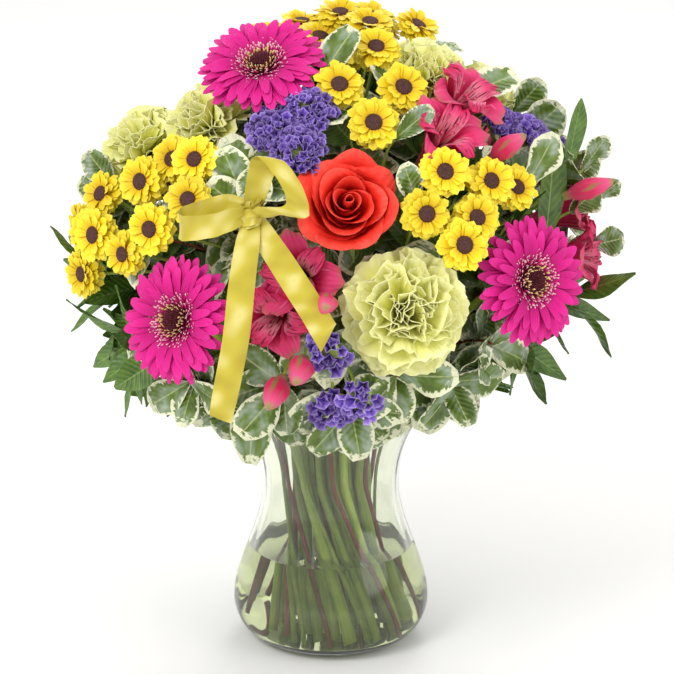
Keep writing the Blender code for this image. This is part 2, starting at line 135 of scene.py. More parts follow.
def curve_points(start, first, second, end, count):
    """Points along a cubic curve, its ends included."""
    points = []
    for i in range(count + 1):
        t = i / count
        s = 1 - t
        points.append(start * s ** 3 + first * 3 * s * s * t + second * 3 * s * t * t + end * t ** 3)
    return points


def stem_line(foot, tip, aim, arch=0.20, count=16):
    """A stem's line from the vase's floor, through the waist, to a tip that it enters along aim."""
    turn = Matrix.Rotation(math.radians(-SPIRAL), 3, "Z")
    neck = (turn @ Vector((foot.x, foot.y, 0)) * (NECK_SPREAD / FLOOR_SPREAD)
        + Vector((0, 0, NECK_HEIGHT)))
    rise = (neck - foot).normalized()
    span = (tip - neck).length
    below = [foot.lerp(neck, i / 6) for i in range(6)]
    return (below + curve_points(neck, neck + (rise + FACE_UP) * span * 0.14, tip - aim * span * arch,
        tip, count))


def standing(origin, along, up):
    """The matrix that lays a blade at a point, growing one way and facing another."""
    y = along.normalized()
    x = y.cross(up).normalized()
    z = x.cross(y)
    return Matrix.Translation(origin) @ Matrix((x, y, z)).transposed().to_4x4()


def bloom_frame(middle, aim, turn=0.0):
    """The matrix that stands a bloom at a point with its +Z along aim."""
    return (Matrix.Translation(middle) @ aim.to_track_quat("Z", "Y").to_matrix().to_4x4()
        @ Matrix.Rotation(turn, 4, "Z"))


# ---------------------------------------------------------------- shapes

def new_shape():
    """An empty shape with a UV map and a tone for each copy in it."""
    shape = bmesh.new()
    shape.loops.layers.uv.new("UVMap")
    shape.verts.layers.float.new("tone")
    return shape


def baked(shape, name):
    """The mesh of a shape, which is then done with."""
    mesh = bpy.data.meshes.new(name)
    shape.to_mesh(mesh)
    shape.free()
    return mesh


def as_template(shape, slot=0):
    """Turns a shape into a mesh that can be copied."""
    bmesh.ops.recalc_face_normals(shape, faces=shape.faces)
    for face in shape.faces:
        face.smooth = True
        face.material_index = slot
    return baked(shape, "template")


def blade(columns, rows, place, thickness=0.0003, slot=0):
    """A thin petal or leaf: place(across, along) sets each point, across -1 to 1 and along 0 to 1."""
    shape = new_shape()
    bmesh.ops.create_grid(shape, x_segments=columns, y_segments=rows, size=1, calc_uvs=True)
    for vert in shape.verts:
        vert.co = place(vert.co.x, (vert.co.y + 1) / 2)
    bmesh.ops.remove_doubles(shape, verts=shape.verts, dist=0.00001)
    if thickness:
        bmesh.ops.solidify(shape, geom=shape.faces[:], thickness=thickness)
    return as_template(shape, slot)


def tube(points, radius, sides=10, slot=0, swell=None):
    """A round stem along points; swell(along) scales its radius."""
    shape = new_shape()
    rows = len(points) - 1
    bmesh.ops.create_grid(shape, x_segments=sides, y_segments=rows, size=1, calc_uvs=True)
    ways = []
    for i in range(rows + 1):
        ahead = points[min(i + 1, rows)] - points[max(i - 1, 0)]
        ways.append(ahead.normalized())
    side = ways[0].orthogonal().normalized()
    rings = []
    for i, way in enumerate(ways):
        if i:
            side = ways[i - 1].rotation_difference(way) @ side
        rings.append((points[i], side.copy(), way.cross(side)))
    for vert in shape.verts:
        row = round((vert.co.y + 1) / 2 * rows)
        turn = math.pi * vert.co.x
        centre, right, up = rings[row]
        r = radius * (swell(row / rows) if swell else 1)
        vert.co = centre + (right * math.cos(turn) + up * math.sin(turn)) * r
    bmesh.ops.remove_doubles(shape, verts=shape.verts, dist=radius * 0.02)
    rims = [edge for edge in shape.edges if edge.is_boundary]
    bmesh.ops.holes_fill(shape, edges=rims, sides=0)
    return as_template(shape, slot)


def turned(profile, sides, slot=0, flute=None):
    """A shape turned round Z from (radius, height) points; flute(turn, point) moves it in or out."""
    shape = new_shape()
    line = [shape.verts.new((max(radius, 0.0), 0, height)) for radius, height in profile]
    edges = [shape.edges.new(pair) for pair in zip(line, line[1:])]
    bmesh.ops.spin(shape, geom=line + edges, cent=(0, 0, 0), axis=(0, 0, 1), angle=math.tau,
                   steps=sides, use_merge=True)
    bmesh.ops.remove_doubles(shape, verts=shape.verts, dist=0.000005)
    heights = [height for radius, height in profile]
    low, high = min(heights), max(heights)
    layer = shape.loops.layers.uv["UVMap"]
    for face in shape.faces:
        turns = [math.atan2(loop.vert.co.y, loop.vert.co.x) / math.tau + 0.5 for loop in face.loops]
        for loop, turn in zip(face.loops, turns):
            turn += 1 if turn < 0.25 and max(turns) > 0.75 else 0
            loop[layer].uv = (turn, (loop.vert.co.z - low) / (high - low))
    if flute:
        for vert in shape.verts:
            out = flute(math.atan2(vert.co.y, vert.co.x), vert.co)
            vert.co.x *= 1 + out
            vert.co.y *= 1 + out
    return as_template(shape, slot)


def stamp(shape, template, matrix=None, tone=0.5, slot=None):
    """Adds a copy of a template to a shape, with a tone of its own."""
    first_vert, first_face = len(shape.verts), len(shape.faces)
    shape.from_mesh(template)
    shape.verts.ensure_lookup_table()
    shape.faces.ensure_lookup_table()
    fresh = shape.verts[first_vert:]
    if matrix is not None:
        bmesh.ops.transform(shape, matrix=matrix, verts=fresh)
    layer = shape.verts.layers.float["tone"]
    for vert in fresh:
        vert[layer] = tone
    if slot is not None:
        for face in shape.faces[first_face:]:
            face.material_index = slot


def piece(name, shape, materials, slot, *nodes):
    """Makes the finished object of a shape, which stands for the CAD nodes named."""
    mesh = baked(shape, name)
    mesh.set_sharp_from_angle(angle=math.radians(55))
    for material in materials:
        mesh.materials.append(material)
    thing = bpy.data.objects.new(name, mesh)
    bpy.context.scene.collection.objects.link(thing)
    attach(thing, "root")
    if nodes:
        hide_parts(*nodes)
    return thing


def turn_z(degrees):
    """A turn round Z."""
    return Matrix.Rotation(math.radians(degrees), 4, "Z")


def tilt_x(degrees):
    """A tilt about X."""
    return Matrix.Rotation(math.radians(degrees), 4, "X")


def sized(least, most):
    """A scale drawn from a range."""
    return Matrix.Scale(chance.uniform(least, most), 4)


def move(x, y, z):
    """A shift."""
    return Matrix.Translation((x, y, z))


# ---------------------------------------------------------------- materials

def colour(code):
    """An sRGB hex colour as the linear values that shaders use."""
    parts = [int(code[i:i + 2], 16) / 255 for i in (1, 3, 5)]
    linear = [c / 12.92 if c <= 0.04045 else ((c + 0.055) / 1.055) ** 2.4 for c in parts]
    return (*linear, 1)


def first(value):
    """A node's first output; anything else as it is."""
    return value.outputs[0] if isinstance(value, bpy.types.Node) else value


def add(tree, kind, feeds=(), stops=(), **settings):
    """Adds a node with its settings and links: feeds gives its inputs, by name or in order, a value
    or the node or socket that drives them, and stops gives a ramp its (position, hex) colours."""
    made = tree.nodes.new("ShaderNode" + kind)
    for name, value in settings.items():
        setattr(made, name, value)
    for name, value in feeds.items() if isinstance(feeds, dict) else enumerate(feeds):
        value = first(value)
        if isinstance(value, bpy.types.NodeSocket):
            tree.links.new(value, made.inputs[name])
        else:
            made.inputs[name].default_value = value
    for i, (position, code) in enumerate(stops):
        elements = made.color_ramp.elements
        element = elements[i] if i < len(elements) else elements.new(position)
        element.position = position
        element.color = colour(code)
    return made


def surface(name, **values):
    """A new Principled material: its node tree and its shader, with these socket values."""
    material = bpy.data.materials.new(name)
    material.use_nodes = True
    shader = material.node_tree.nodes["Principled BSDF"]
    for socket, value in values.items():
        shader.inputs[socket.replace("_", " ")].default_value = value
    return material, material.node_tree, shader


def toned(tree, base, amount):
    """Makes a colour lighter or darker from petal to petal by the amount given."""
    tone = add(tree, "Attribute", attribute_name="tone").outputs["Fac"]
    value = add(tree, "Math", (tone, 2 * amount, 1 - amount), operation="MULTIPLY_ADD")
    return add(tree, "HueSaturation", {"Value": value, "Color": base})


def petal_finish(name, stops, veins, depth, mottle=0.15, tones=0.1, **values):
    """A petal's skin: colour along its length and fine veins along it, with the socket values given."""
    material, tree, shader = surface(name, **values)
    place = add(tree, "UVMap", uv_map="UVMap")
    axes = add(tree, "SeparateXYZ", {"Vector": place})
    body = add(tree, "TexCoord").outputs["Object"]
    cloud = add(tree, "TexNoise", {"Vector": body, "Scale": 160.0, "Detail": 3.0})
    along = add(tree, "Math", (add(tree, "Math", (cloud, 0.5), operation="SUBTRACT"), mottle * 2,
        axes.outputs["Y"]), operation="MULTIPLY_ADD")
    tint = toned(tree, add(tree, "ValToRGB", (along,), stops), tones)
    tree.links.new(first(tint), shader.inputs["Base Color"])
    stripe = add(tree, "Math", (add(tree, "Math", (axes.outputs["X"], veins * math.tau),
        operation="MULTIPLY"),), operation="SINE")
    rough = add(tree, "Math", (cloud, 1.2, stripe), operation="MULTIPLY_ADD")
    bump = add(tree, "Bump", {"Height": rough, "Strength": 0.6, "Distance": depth})
    tree.links.new(first(bump), shader.inputs["Normal"])
    return material


# Gerbera ray: a firm, matt, finely grooved petal with a velvet sheen.
gerbera_ray = petal_finish("gerbera_ray_velvet", [(0.0, "#8E0C4E"), (0.25, "#BC1270"),
    (0.7, "#D81C86"), (1.0, "#E42E94")], 5, 0.0003, Roughness=0.55, Specular_IOR_Level=0.2,
    Sheen_Weight=0.08, Sheen_Tint=colour("#FF70C0"), Sheen_Roughness=0.4)
# Inner florets: short pink straps with pale yellow tips.
gerbera_floret = petal_finish("gerbera_floret", [(0.0, "#7A0A40"), (0.45, "#C21468"),
    (0.75, "#DE3A8C"), (0.9, "#F2A8C0"), (1.0, "#FAE0DC")], 2, 0.0001, tones=0.15, Roughness=0.6)
# Stamens round the eye: dark pink threads tipped with cream pollen.
gerbera_stamen = petal_finish("gerbera_stamen", [(0.0, "#4A0A20"), (0.6, "#A0184E"), (0.82, "#E8C070"),
    (1.0, "#F6EAA8")], 2, 0.0001, tones=0.15, Roughness=0.6)
# Eye: a tight cushion of dark maroon bristles, paler where their tips catch the light.
gerbera_eye = petal_finish("gerbera_eye_bristle", [(0.0, "#2E0810"), (0.5, "#4E1020"),
    (1.0, "#701E30")], 2, 0.0001, tones=0.3, Roughness=0.7)
# Carnation: thin crumpled petals, greener in their folds and cream at their cut edges.
carnation_petal = petal_finish("carnation_petal", [(0.0, "#D6DA52"), (0.45, "#EEEE7C"),
    (0.8, "#F5F494"), (1.0, "#F8F7B8")], 9, 0.0004, tones=0.06, Roughness=0.6, Sheen_Weight=0.15,
    Specular_IOR_Level=0.25)
# Rose: thick satin petals, deep red inside and warmer orange red on their rolled edges.
rose_petal = petal_finish("rose_petal_satin", [(0.0, "#D42014"), (0.5, "#E62A1C"), (0.85, "#EE3426"),
    (1.0, "#F65040")], 10, 0.0002, tones=0.05, Roughness=0.5, Specular_IOR_Level=0.25,
    Sheen_Weight=0.06, Sheen_Tint=colour("#FF6A60"))
# Button daisy: waxy yellow rays, darker ochre towards the eye, which is painted shade.
pom_ray = petal_finish("button_daisy_ray", [(0.0, "#CF920F"), (0.25, "#E6BC16"), (0.7, "#F2D422"),
    (1.0, "#F8E440")], 2, 0.0002, tones=0.1, Roughness=0.45, Specular_IOR_Level=0.25)
# Statice: dry papery calyx, violet, darker deep in each funnel, which is painted shade, and paler at
# its frilled edges, partly the paper's own paler rim and partly painted highlight.
statice_paper = petal_finish("statice_paper", [(0.0, "#482C80"), (0.5, "#7050AE"), (0.85, "#9074C6"),
    (1.0, "#B29CDC")], 5, 0.0002, tones=0.3, Roughness=0.75, Specular_IOR_Level=0.25)


def alstroemeria_finish(name, stops, dashes, cut, dark):
    """A tepal's skin: crimson pink and finely ribbed, with dashes of a second colour along it."""
    material, tree, shader = surface(name, Roughness=0.45, Specular_IOR_Level=0.3, Sheen_Weight=0.04)
    place = add(tree, "UVMap", uv_map="UVMap")
    axes = add(tree, "SeparateXYZ", {"Vector": place})
    tint = add(tree, "ValToRGB", (axes.outputs["Y"],), stops)
    stretch = add(tree, "Mapping", {"Vector": place, "Scale": dashes})
    dash = add(tree, "TexNoise", {"Vector": stretch, "Scale": 1.0, "Detail": 1.0})
    inked = add(tree, "Math", (add(tree, "Math", (dash, cut), operation="SUBTRACT"), 9.0),
        operation="MULTIPLY", use_clamp=True)
    tint = add(tree, "Mix", {"Factor": inked, "A": tint, "B": colour(dark)},
        data_type="RGBA").outputs["Result"]
    tree.links.new(first(toned(tree, tint, 0.10)), shader.inputs["Base Color"])
    rib = add(tree, "Math", (add(tree, "Math", (axes.outputs["X"], 7 * math.tau),
        operation="MULTIPLY"),), operation="SINE")
    bump = add(tree, "Bump", {"Height": rib, "Strength": 0.5, "Distance": 0.0003})
    tree.links.new(first(bump), shader.inputs["Normal"])
    return material


# Outer tepals: broad and crimson pink, green where they meet the stalk.
alstroemeria_tepal = alstroemeria_finish("alstroemeria_tepal",
    [(0.0, "#7E9A4A"), (0.2, "#BE2450"), (0.6, "#D01A54"), (0.9, "#DE3A74"), (1.0, "#C06060")],
    (9.0, 2.0, 1.0), 0.62, "#E46A94")
# Inner tepals: paler in the throat, with short dark dashes.
alstroemeria_streaked = alstroemeria_finish("alstroemeria_streaked_tepal",
    [(0.0, "#9AA04A"), (0.30, "#E0948C"), (0.55, "#E88CA0"), (0.75, "#DA3A70"), (1.0, "#CC1A54")],
    (13.0, 5.0, 1.0), 0.54, "#6A0C26")
# Closed bud: deep pink with olive green streaks from its base.
alstroemeria_skin = alstroemeria_finish("alstroemeria_bud_skin",
    [(0.0, "#7E9A4A"), (0.22, "#C03A5A"), (0.6, "#D21E56"), (0.88, "#E05484"), (1.0, "#8E9A4C")],
    (7.0, 1.2, 1.0), 0.57, "#8A7A44")


def pom_eye_finish():
    """A button daisy's eye: a flat brown cushion of tiny packed florets."""
    material, tree, shader = surface("button_daisy_eye", Roughness=0.8)
    body = add(tree, "TexCoord").outputs["Object"]
    cells = add(tree, "TexVoronoi", {"Vector": body, "Scale": 1400.0})
    tint = add(tree, "ValToRGB", (cells,), [(0.0, "#7A4636"), (0.35, "#55302A"), (0.8, "#2E1512")])
    tree.links.new(first(tint), shader.inputs["Base Color"])
    bump = add(tree, "Bump", {"Height": cells, "Strength": 0.8, "Distance": 0.0005}, invert=True)
    tree.links.new(first(bump), shader.inputs["Normal"])
    return material


# Button daisy's eye: matt brown, which gives each yellow bloom its dark centre.
pom_eye = pom_eye_finish()


def variegated_finish():
    """A pittosporum leaf: green in the middle, grey-green patches and a ragged cream margin."""
    material, tree, shader = surface("variegated_leaf", Roughness=0.42)
    place = add(tree, "UVMap", uv_map="UVMap")
    axes = add(tree, "SeparateXYZ", {"Vector": place})
    tone = add(tree, "Attribute", attribute_name="tone").outputs["Fac"]
    across = add(tree, "Math", (add(tree, "Math", (axes.outputs["X"], 2.0, -1.0),
        operation="MULTIPLY_ADD"),), operation="ABSOLUTE")
    tip = add(tree, "Math", (axes.outputs["Y"], 2.2, -1.2), operation="MULTIPLY_ADD")
    margin = add(tree, "Math", (across, tip), operation="MAXIMUM")
    own = add(tree, "CombineXYZ", {"X": add(tree, "Math", (tone, 40.0), operation="MULTIPLY"),
        "Z": add(tree, "Math", (tone, 17.0), operation="MULTIPLY")})
    shifted = add(tree, "VectorMath", {0: place, 1: own}, operation="ADD")
    fingers = add(tree, "Mapping", {"Vector": shifted, "Scale": (2.0, 11.0, 1.0)})
    ragged = add(tree, "TexNoise", {"Vector": fingers, "Scale": 1.5, "Detail": 3.0, "Roughness": 0.6})
    patches = add(tree, "TexNoise", {"Vector": shifted, "Scale": 2.6, "Detail": 2.0})
    edge = add(tree, "Math", (add(tree, "Math", (ragged, 0.5), operation="SUBTRACT"), 0.95, margin),
        operation="MULTIPLY_ADD")
    edge = add(tree, "Math", (add(tree, "Math", (tone, 0.5), operation="SUBTRACT"), 0.22, edge),
        operation="MULTIPLY_ADD")
    green = add(tree, "ValToRGB", (patches,), [(0.36, "#4C6416"), (0.47, "#647E26"), (0.54, "#7A8F68"),
        (0.68, "#A0AE98")])
    cream = add(tree, "Math", (add(tree, "Math", (edge, 0.80), operation="SUBTRACT"), 16.0),
        operation="MULTIPLY", use_clamp=True)
    tint = add(tree, "Mix", {"Factor": cream, "A": green, "B": colour("#E3E4C2")},
        data_type="RGBA").outputs["Result"]
    rib = add(tree, "Math", (across, 0.045), operation="LESS_THAN")
    tint = add(tree, "Mix", {"Factor": add(tree, "Math", (rib, 0.6), operation="MULTIPLY"),
        "A": toned(tree, tint, 0.12), "B": colour("#B9C48C")}, data_type="RGBA").outputs["Result"]
    tree.links.new(first(tint), shader.inputs["Base Color"])
    side = add(tree, "Math", (across, -2.2, add(tree, "Math", (axes.outputs["Y"], 9.0),
        operation="MULTIPLY")), operation="MULTIPLY_ADD")
    veins = add(tree, "Math", (add(tree, "Math", (side, math.tau), operation="MULTIPLY"),),
        operation="SINE")
    relief = add(tree, "Math", (ragged, 2.0, veins), operation="MULTIPLY_ADD")
    bump = add(tree, "Bump", {"Height": relief, "Strength": 0.5, "Distance": 0.0004})
    tree.links.new(first(bump), shader.inputs["Normal"])
    return material


def leaf_finish(name, dark, light, rib_colour, roughness):
    """A plain green leaf: a pale midrib, herringbone side veins and a waxy skin."""
    material, tree, shader = surface(name, Roughness=roughness)
    place = add(tree, "UVMap", uv_map="UVMap")
    axes = add(tree, "SeparateXYZ", {"Vector": place})
    across = add(tree, "Math", (add(tree, "Math", (axes.outputs["X"], 2.0, -1.0),
        operation="MULTIPLY_ADD"),), operation="ABSOLUTE")
    body = add(tree, "TexCoord").outputs["Object"]
    cloud = add(tree, "TexNoise", {"Vector": body, "Scale": 120.0, "Detail": 3.0})
    side = add(tree, "Math", (across, -2.0, add(tree, "Math", (axes.outputs["Y"], 10.0),
        operation="MULTIPLY")), operation="MULTIPLY_ADD")
    veins = add(tree, "Math", (add(tree, "Math", (side, math.tau), operation="MULTIPLY"),),
        operation="SINE")
    blend = add(tree, "Math", (veins, 0.08, cloud), operation="MULTIPLY_ADD")
    tint = toned(tree, add(tree, "ValToRGB", (blend,), [(0.25, dark), (0.75, light)]), 0.2)
    rib = add(tree, "Math", (across, 0.05), operation="LESS_THAN")
    tint = add(tree, "Mix", {"Factor": add(tree, "Math", (rib, 0.6), operation="MULTIPLY"), "A": tint,
        "B": colour(rib_colour)}, data_type="RGBA").outputs["Result"]
    tree.links.new(first(tint), shader.inputs["Base Color"])
    bump = add(tree, "Bump", {"Height": veins, "Strength": 0.5, "Distance": 0.0004})
    tree.links.new(first(bump), shader.inputs["Normal"])
    return material


def stem_finish(name, dark, light, roughness):
    """A stem's skin: green or brown, streaked along its length."""
    material, tree, shader = surface(name, Roughness=roughness)
    place = add(tree, "UVMap", uv_map="UVMap")
    long = add(tree, "Mapping", {"Vector": place, "Scale": (9.0, 1.5, 1.0)})
    lines = add(tree, "TexNoise", {"Vector": long, "Scale": 2.0, "Detail": 3.0})
    body = add(tree, "TexCoord").outputs["Object"]
    cloud = add(tree, "TexNoise", {"Vector": body, "Scale": 60.0, "Detail": 2.0})
    blend = add(tree, "Math", (add(tree, "Math", (lines, cloud), operation="ADD"), 0.5),
        operation="MULTIPLY")
    tree.links.new(first(toned(tree, add(tree, "ValToRGB", (blend,), [(0.35, dark), (0.65, light)]),
        0.28)), shader.inputs["Base Color"])
    bump = add(tree, "Bump", {"Height": lines, "Strength": 0.6, "Distance": 0.0003})
    tree.links.new(first(bump), shader.inputs["Normal"])
    return material


# Pittosporum leaf: waxy green with a ragged cream edge, which lights up the gaps between blooms.
variegated_leaf = variegated_finish()
# Lance shaped leaf: plain mid green and waxy, darker than the pittosporum.
plain_leaf = leaf_finish("plain_leaf", "#38561A", "#62842E", "#8AA65C", 0.4)
# Flower stems: bright yellow green, streaked along their length.
green_stem = stem_finish("green_stem", "#8AAC26", "#C8DC60", 0.4)
# Stems of sprays and leaves: a duller, darker green.
dark_stem = stem_finish("leafy_stem", "#728E28", "#B0C454", 0.5)
# Pittosporum bark: red brown, which stands out among the green stems in the vase.
brown_twig = stem_finish("brown_twig", "#6E2C22", "#9A4A3C", 0.6)
# Calyx and cup: the cooler green under each bloom.
calyx_green = stem_finish("calyx_green", "#5E8A3A", "#8DB35C", 0.45)


def ribbon_finish():
    """Acetate satin ribbon: glossy yellow with a fine crosswise weave, and broad bands of painted
    highlight and painted shade along it.
    """
    material, tree, shader = surface("satin_ribbon", Roughness=0.34, Sheen_Weight=0.2)
    place = add(tree, "UVMap", uv_map="UVMap")
    axes = add(tree, "SeparateXYZ", {"Vector": place})
    long = add(tree, "Mapping", {"Vector": place, "Scale": (0.5, 4.2, 1.0)})
    cloud = add(tree, "TexNoise", {"Vector": long, "Scale": 1.3, "Detail": 1.0})
    # Broad pale and darker bands along the ribbon: painted highlight and painted shade.
    tree.links.new(first(add(tree, "ValToRGB", (cloud,), [(0.34, "#AE9A16"), (0.5, "#C4B430"),
        (0.62, "#DED07A"), (0.7, "#C8B83C")])), shader.inputs["Base Color"])
    weft = add(tree, "Math", (add(tree, "Math", (axes.outputs["Y"], 260 * math.tau),
        operation="MULTIPLY"),), operation="SINE")
    bump = add(tree, "Bump", {"Height": weft, "Strength": 0.2, "Distance": 0.0001})
    tree.links.new(first(bump), shader.inputs["Normal"])
    return material


# Acetate satin: smooth and glossy, with soft pale bands of painted highlight and darker bands of
# painted shade along it.
satin_ribbon = ribbon_finish()

# Soda-lime glass: clear, with the faint green of its iron.
clear_glass = surface("clear_glass", Base_Color=colour("#F5F8EC"), Roughness=0.0, IOR=1.5,
    Transmission_Weight=1.0)[0]
# Vase water, a little green from the stems.
vase_water = surface("vase_water", Base_Color=colour("#E8EDC8"), Roughness=0.0, IOR=1.33,
    Transmission_Weight=1.0)[0]


def flower_stem(shape, node, end, aim, radius, sides, slot, tone=None):
    """Adds a single flower's stem, which is thickest at its foot."""
    line = stem_line(stem_foot(f"{node}_stem"), end, aim)
    stem = tube(line, radius, sides, slot, lambda along: 1.45 - 0.5 * along)
    stamp(shape, stem, tone=chance.random() if tone is None else tone)


# ---------------------------------------------------------------- gerberas

def ray(length, half_width, arch, droop, twist):
    """A gerbera ray: a narrow channelled strap with a rounded tip."""
    def place(across, along):
        width = (half_width * (0.34 + 0.66 * math.sin(math.pi / 2 * min(1, 1.7 * along)) ** 0.8) * (1
            - 0.30 * max(0, along - 0.6) / 0.4))
        lift = length * (arch * math.sin(math.pi * along) - droop * along ** 2)
        channel = half_width * 0.20 * across ** 2 + twist * across * along
        return Vector((across * width, length * (along - 0.13 * across ** 2 * along ** 4),
            lift + channel))
    return blade(4, 6, place, 0.0004)


GERBERA_LAYERS = [
    # count, start radius, length, half width, rise in degrees, height
    (25, 0.0120, 0.0330, 0.0046, 3, 0.0004),
    (25, 0.0118, 0.0310, 0.0044, 9, 0.0016),
    (21, 0.0115, 0.0245, 0.0036, 15, 0.0026),
]


def gerbera(name):
    """A gerbera: three layers of rays, a ring of short florets and a dark bristly eye, on its stem."""
    node = f"gerbera_{name}"
    centre, aim, *_ = max(flats(node, 100), key=lambda flat: flat[2])
    middle = centre - aim * 0.004
    bloom = bloom_frame(middle, aim, chance.uniform(0, math.tau))
    shape = new_shape()
    for count, start, length, half, rise, height in GERBERA_LAYERS:
        rays = [ray(length, half, chance.uniform(0.03, 0.09), chance.uniform(0.02, 0.12),
            chance.uniform(-0.0008, 0.0008)) for _ in range(5)]
        for i in range(count):
            around = 360 * (i + chance.uniform(-0.22, 0.22)) / count
            size = Matrix.Diagonal((chance.uniform(0.9, 1.12), chance.uniform(0.93, 1.02), 1, 1))
            place = (bloom @ turn_z(around) @ move(0, start, height)
                @ tilt_x(rise + chance.uniform(-4, 4)) @ size)
            stamp(shape, chance.choice(rays), place, chance.random(), 0)
    florets = [blade(2, 3, lambda across, along, bend=bend: Vector((across * 0.0008 * (1.1
        - 0.5 * along), 0.0064 * along, bend * along ** 2)), 0.0003) for bend in (0.0, 0.0012, 0.0024)]
    rings = [(48, 0.0186, 9), (46, 0.0172, 14), (46, 0.0158, 22), (44, 0.0144, 30), (40, 0.0130, 38),
        (36, 0.0116, 46), (34, 0.0102, 56), (32, 0.0088, 66)]
    for ring, (count, radius, rise) in enumerate(rings):
        for i in range(count):
            around = 360 * (i + 0.5 * (ring % 2) + chance.uniform(-0.2, 0.2)) / count
            place = (bloom @ turn_z(around) @ move(0, radius - 0.002, 0.0030)
                @ tilt_x(rise + chance.uniform(-9, 9)))
            stamp(shape, chance.choice(florets), place @ turn_z(chance.uniform(-25, 25))
                @ sized(0.75, 1.0), chance.random(), 1 if ring < 6 else 4)
    cushion = turned([(0, 0.0058), (0.004, 0.0055), (0.0068, 0.0044), (0.0080, 0.0025),
        (0.0150, 0.0022)], 24, 2)
    stamp(shape, cushion, bloom, 0.1)
    bristle = turned([(0, 0.0030), (0.00035, 0.0026), (0.00055, 0.0012), (0.0004, -0.0006)], 6, 2)
    for i in range(150):
        out = 0.0074 * math.sqrt((i + 0.5) / 150)
        around = math.radians(GOLDEN_ANGLE * i)
        top = 0.0056 - 26 * out ** 2 + 0.0002
        lean = tilt_x(-out * 4200 * 0.9)
        place = bloom @ Matrix.Rotation(around, 4, "Z") @ move(0, out, top) @ lean
        stamp(shape, bristle, place @ sized(0.8, 1.15), out / 0.0088 * 0.9 + chance.uniform(0, 0.1))
    cup = turned([(0.0215, -0.0012), (0.018, -0.0030), (0.012, -0.0085), (0.0075, -0.0125),
        (0.0042, -0.0150), (0.0, -0.0155)], 30, 3, lambda turn, point: 0.05 * math.cos(15 * turn))
    stamp(shape, cup, bloom)
    bract = blade(2, 4, lambda across, along: Vector((across * 0.0022 * (1 - along * 0.75),
        0.016 * along, 0.0008 * math.sin(3 * along))), 0.0004, 3)
    for i in range(40):
        low = i % 2
        place = (bloom @ turn_z(18 * i + 9 * low) @ move(0, 0.0075 + 0.004 * low,
            -0.0135 + 0.003 * low) @ tilt_x(38 - 8 * low))
        stamp(shape, bract, place, chance.random())
    flower_stem(shape, node, middle - aim * 0.0145, aim, 0.0030, 12, 5)
    return piece(f"{node}_flower", shape, [gerbera_ray, gerbera_floret, gerbera_eye, calyx_green,
        gerbera_stamen, green_stem], "gerbera_petals", node, f"{node}_stem")


# ---------------------------------------------------------------- carnations

def ruffled(length, half_width, curl, waves, phase, height):
    """A carnation petal: a narrow claw that fans out to a waved and finely toothed edge."""
    def place(across, along):
        fan = half_width * (0.12 + 0.88 * along ** 0.75)
        teeth = 0.045 * length * abs(math.sin(across * 14 + phase)) * max(0.0, along - 0.75) / 0.25
        reach = length * along - 0.32 * length * across ** 2 * along + teeth
        wave = height * along ** 1.3 * math.sin(waves * across + phase)
        frill = height * 0.40 * along ** 4 * math.sin(3.1 * waves * across - phase * 2)
        cup = 0.18 * half_width * across ** 2 * along
        return Vector((across * fan, reach, wave + frill + cup - curl * length * along ** 2))
    return blade(14, 6, place, 0.0003)


CARNATION_WHORLS = [
    # count, lean from the bloom's aim in degrees, half width, wave height, curl
    (4, 9, 0.0090, 0.0036, -0.10), (5, 21, 0.0125, 0.0046, -0.05), (6, 34, 0.0150, 0.0050, 0.00),
    (7, 48, 0.0170, 0.0054, 0.05), (8, 62, 0.0180, 0.0054, 0.11), (8, 77, 0.0185, 0.0056, 0.19),
]


def carnation(name):
    """A carnation: six whorls of crumpled petals crowded over a green calyx, on its stem."""
    node = f"carnation_{name}"
    centre, aim, area, _ = max(flats(node, 100), key=lambda flat: flat[2])
    scale = math.sqrt(area / 12 * 2 / math.sin(math.tau / 12)) / (0.42 * 34)
    depth = 0.038 * scale
    middle = centre - aim * 0.5 * depth
    bloom = bloom_frame(middle, aim, chance.uniform(0, math.tau))
    shape = new_shape()
    for count, lean, half, height, curl in CARNATION_WHORLS:
        count = round(count * (1.25 if scale > 1.2 else 1))
        reach = depth * 0.78 + (0.034 * scale * 1.02 - depth * 0.78) * math.sin(math.radians(lean)) ** 2
        petals = [ruffled(reach * chance.uniform(0.90, 1.06), half * scale ** 0.8, curl,
            chance.uniform(3.2, 5.4), chance.uniform(0, 6), height * scale ** 0.6) for _ in range(4)]
        for i in range(count):
            around = 360 * (i + chance.uniform(-0.3, 0.3)) / count + lean * 7
            place = (bloom @ move(0, 0, -0.28 * depth) @ turn_z(around)
                @ tilt_x(90 - lean + chance.uniform(-11, 8)))
            roll = Matrix.Rotation(math.radians(chance.gauss(0, 20 if lean < 70 else 9)), 4, "Y")
            stamp(shape, chance.choice(petals), place @ roll @ turn_z(chance.uniform(-12, 12)),
                chance.random(), 0)
    base = -depth / 2
    calyx = turned([(0.0, base + 0.010), (0.0095, base + 0.008), (0.0088, base - 0.002),
        (0.0080, base - 0.010), (0.0066, base - 0.019), (0.0030, base - 0.024), (0.0, base - 0.0245)],
        24, 1, lambda turn, point: 0.03 * math.cos(10 * turn))
    stamp(shape, calyx, bloom)
    flower_stem(shape, node, middle + aim * (base - 0.0235), aim, 0.0026, 10, 2)
    return piece(f"{node}_flower", shape, [carnation_petal, calyx_green, green_stem],
        "carnation_petals", node, f"{node}_stem")


# ---------------------------------------------------------------- rose

ROSE_PETALS = [
    # count, radius, height, half width, roll outwards, flare, point of the tip
    (2, 0.0030, 0.0450, 0.010, 0.02, -0.10, 0.00), (2, 0.0064, 0.0455, 0.016, 0.08, -0.04, 0.03),
    (3, 0.0108, 0.0445, 0.023, 0.16, 0.02, 0.05), (3, 0.0160, 0.0425, 0.030, 0.32, 0.06, 0.07),
    (4, 0.0210, 0.0400, 0.034, 0.46, 0.08, 0.10), (4, 0.0238, 0.0385, 0.036, 0.50, 0.06, 0.22),
]


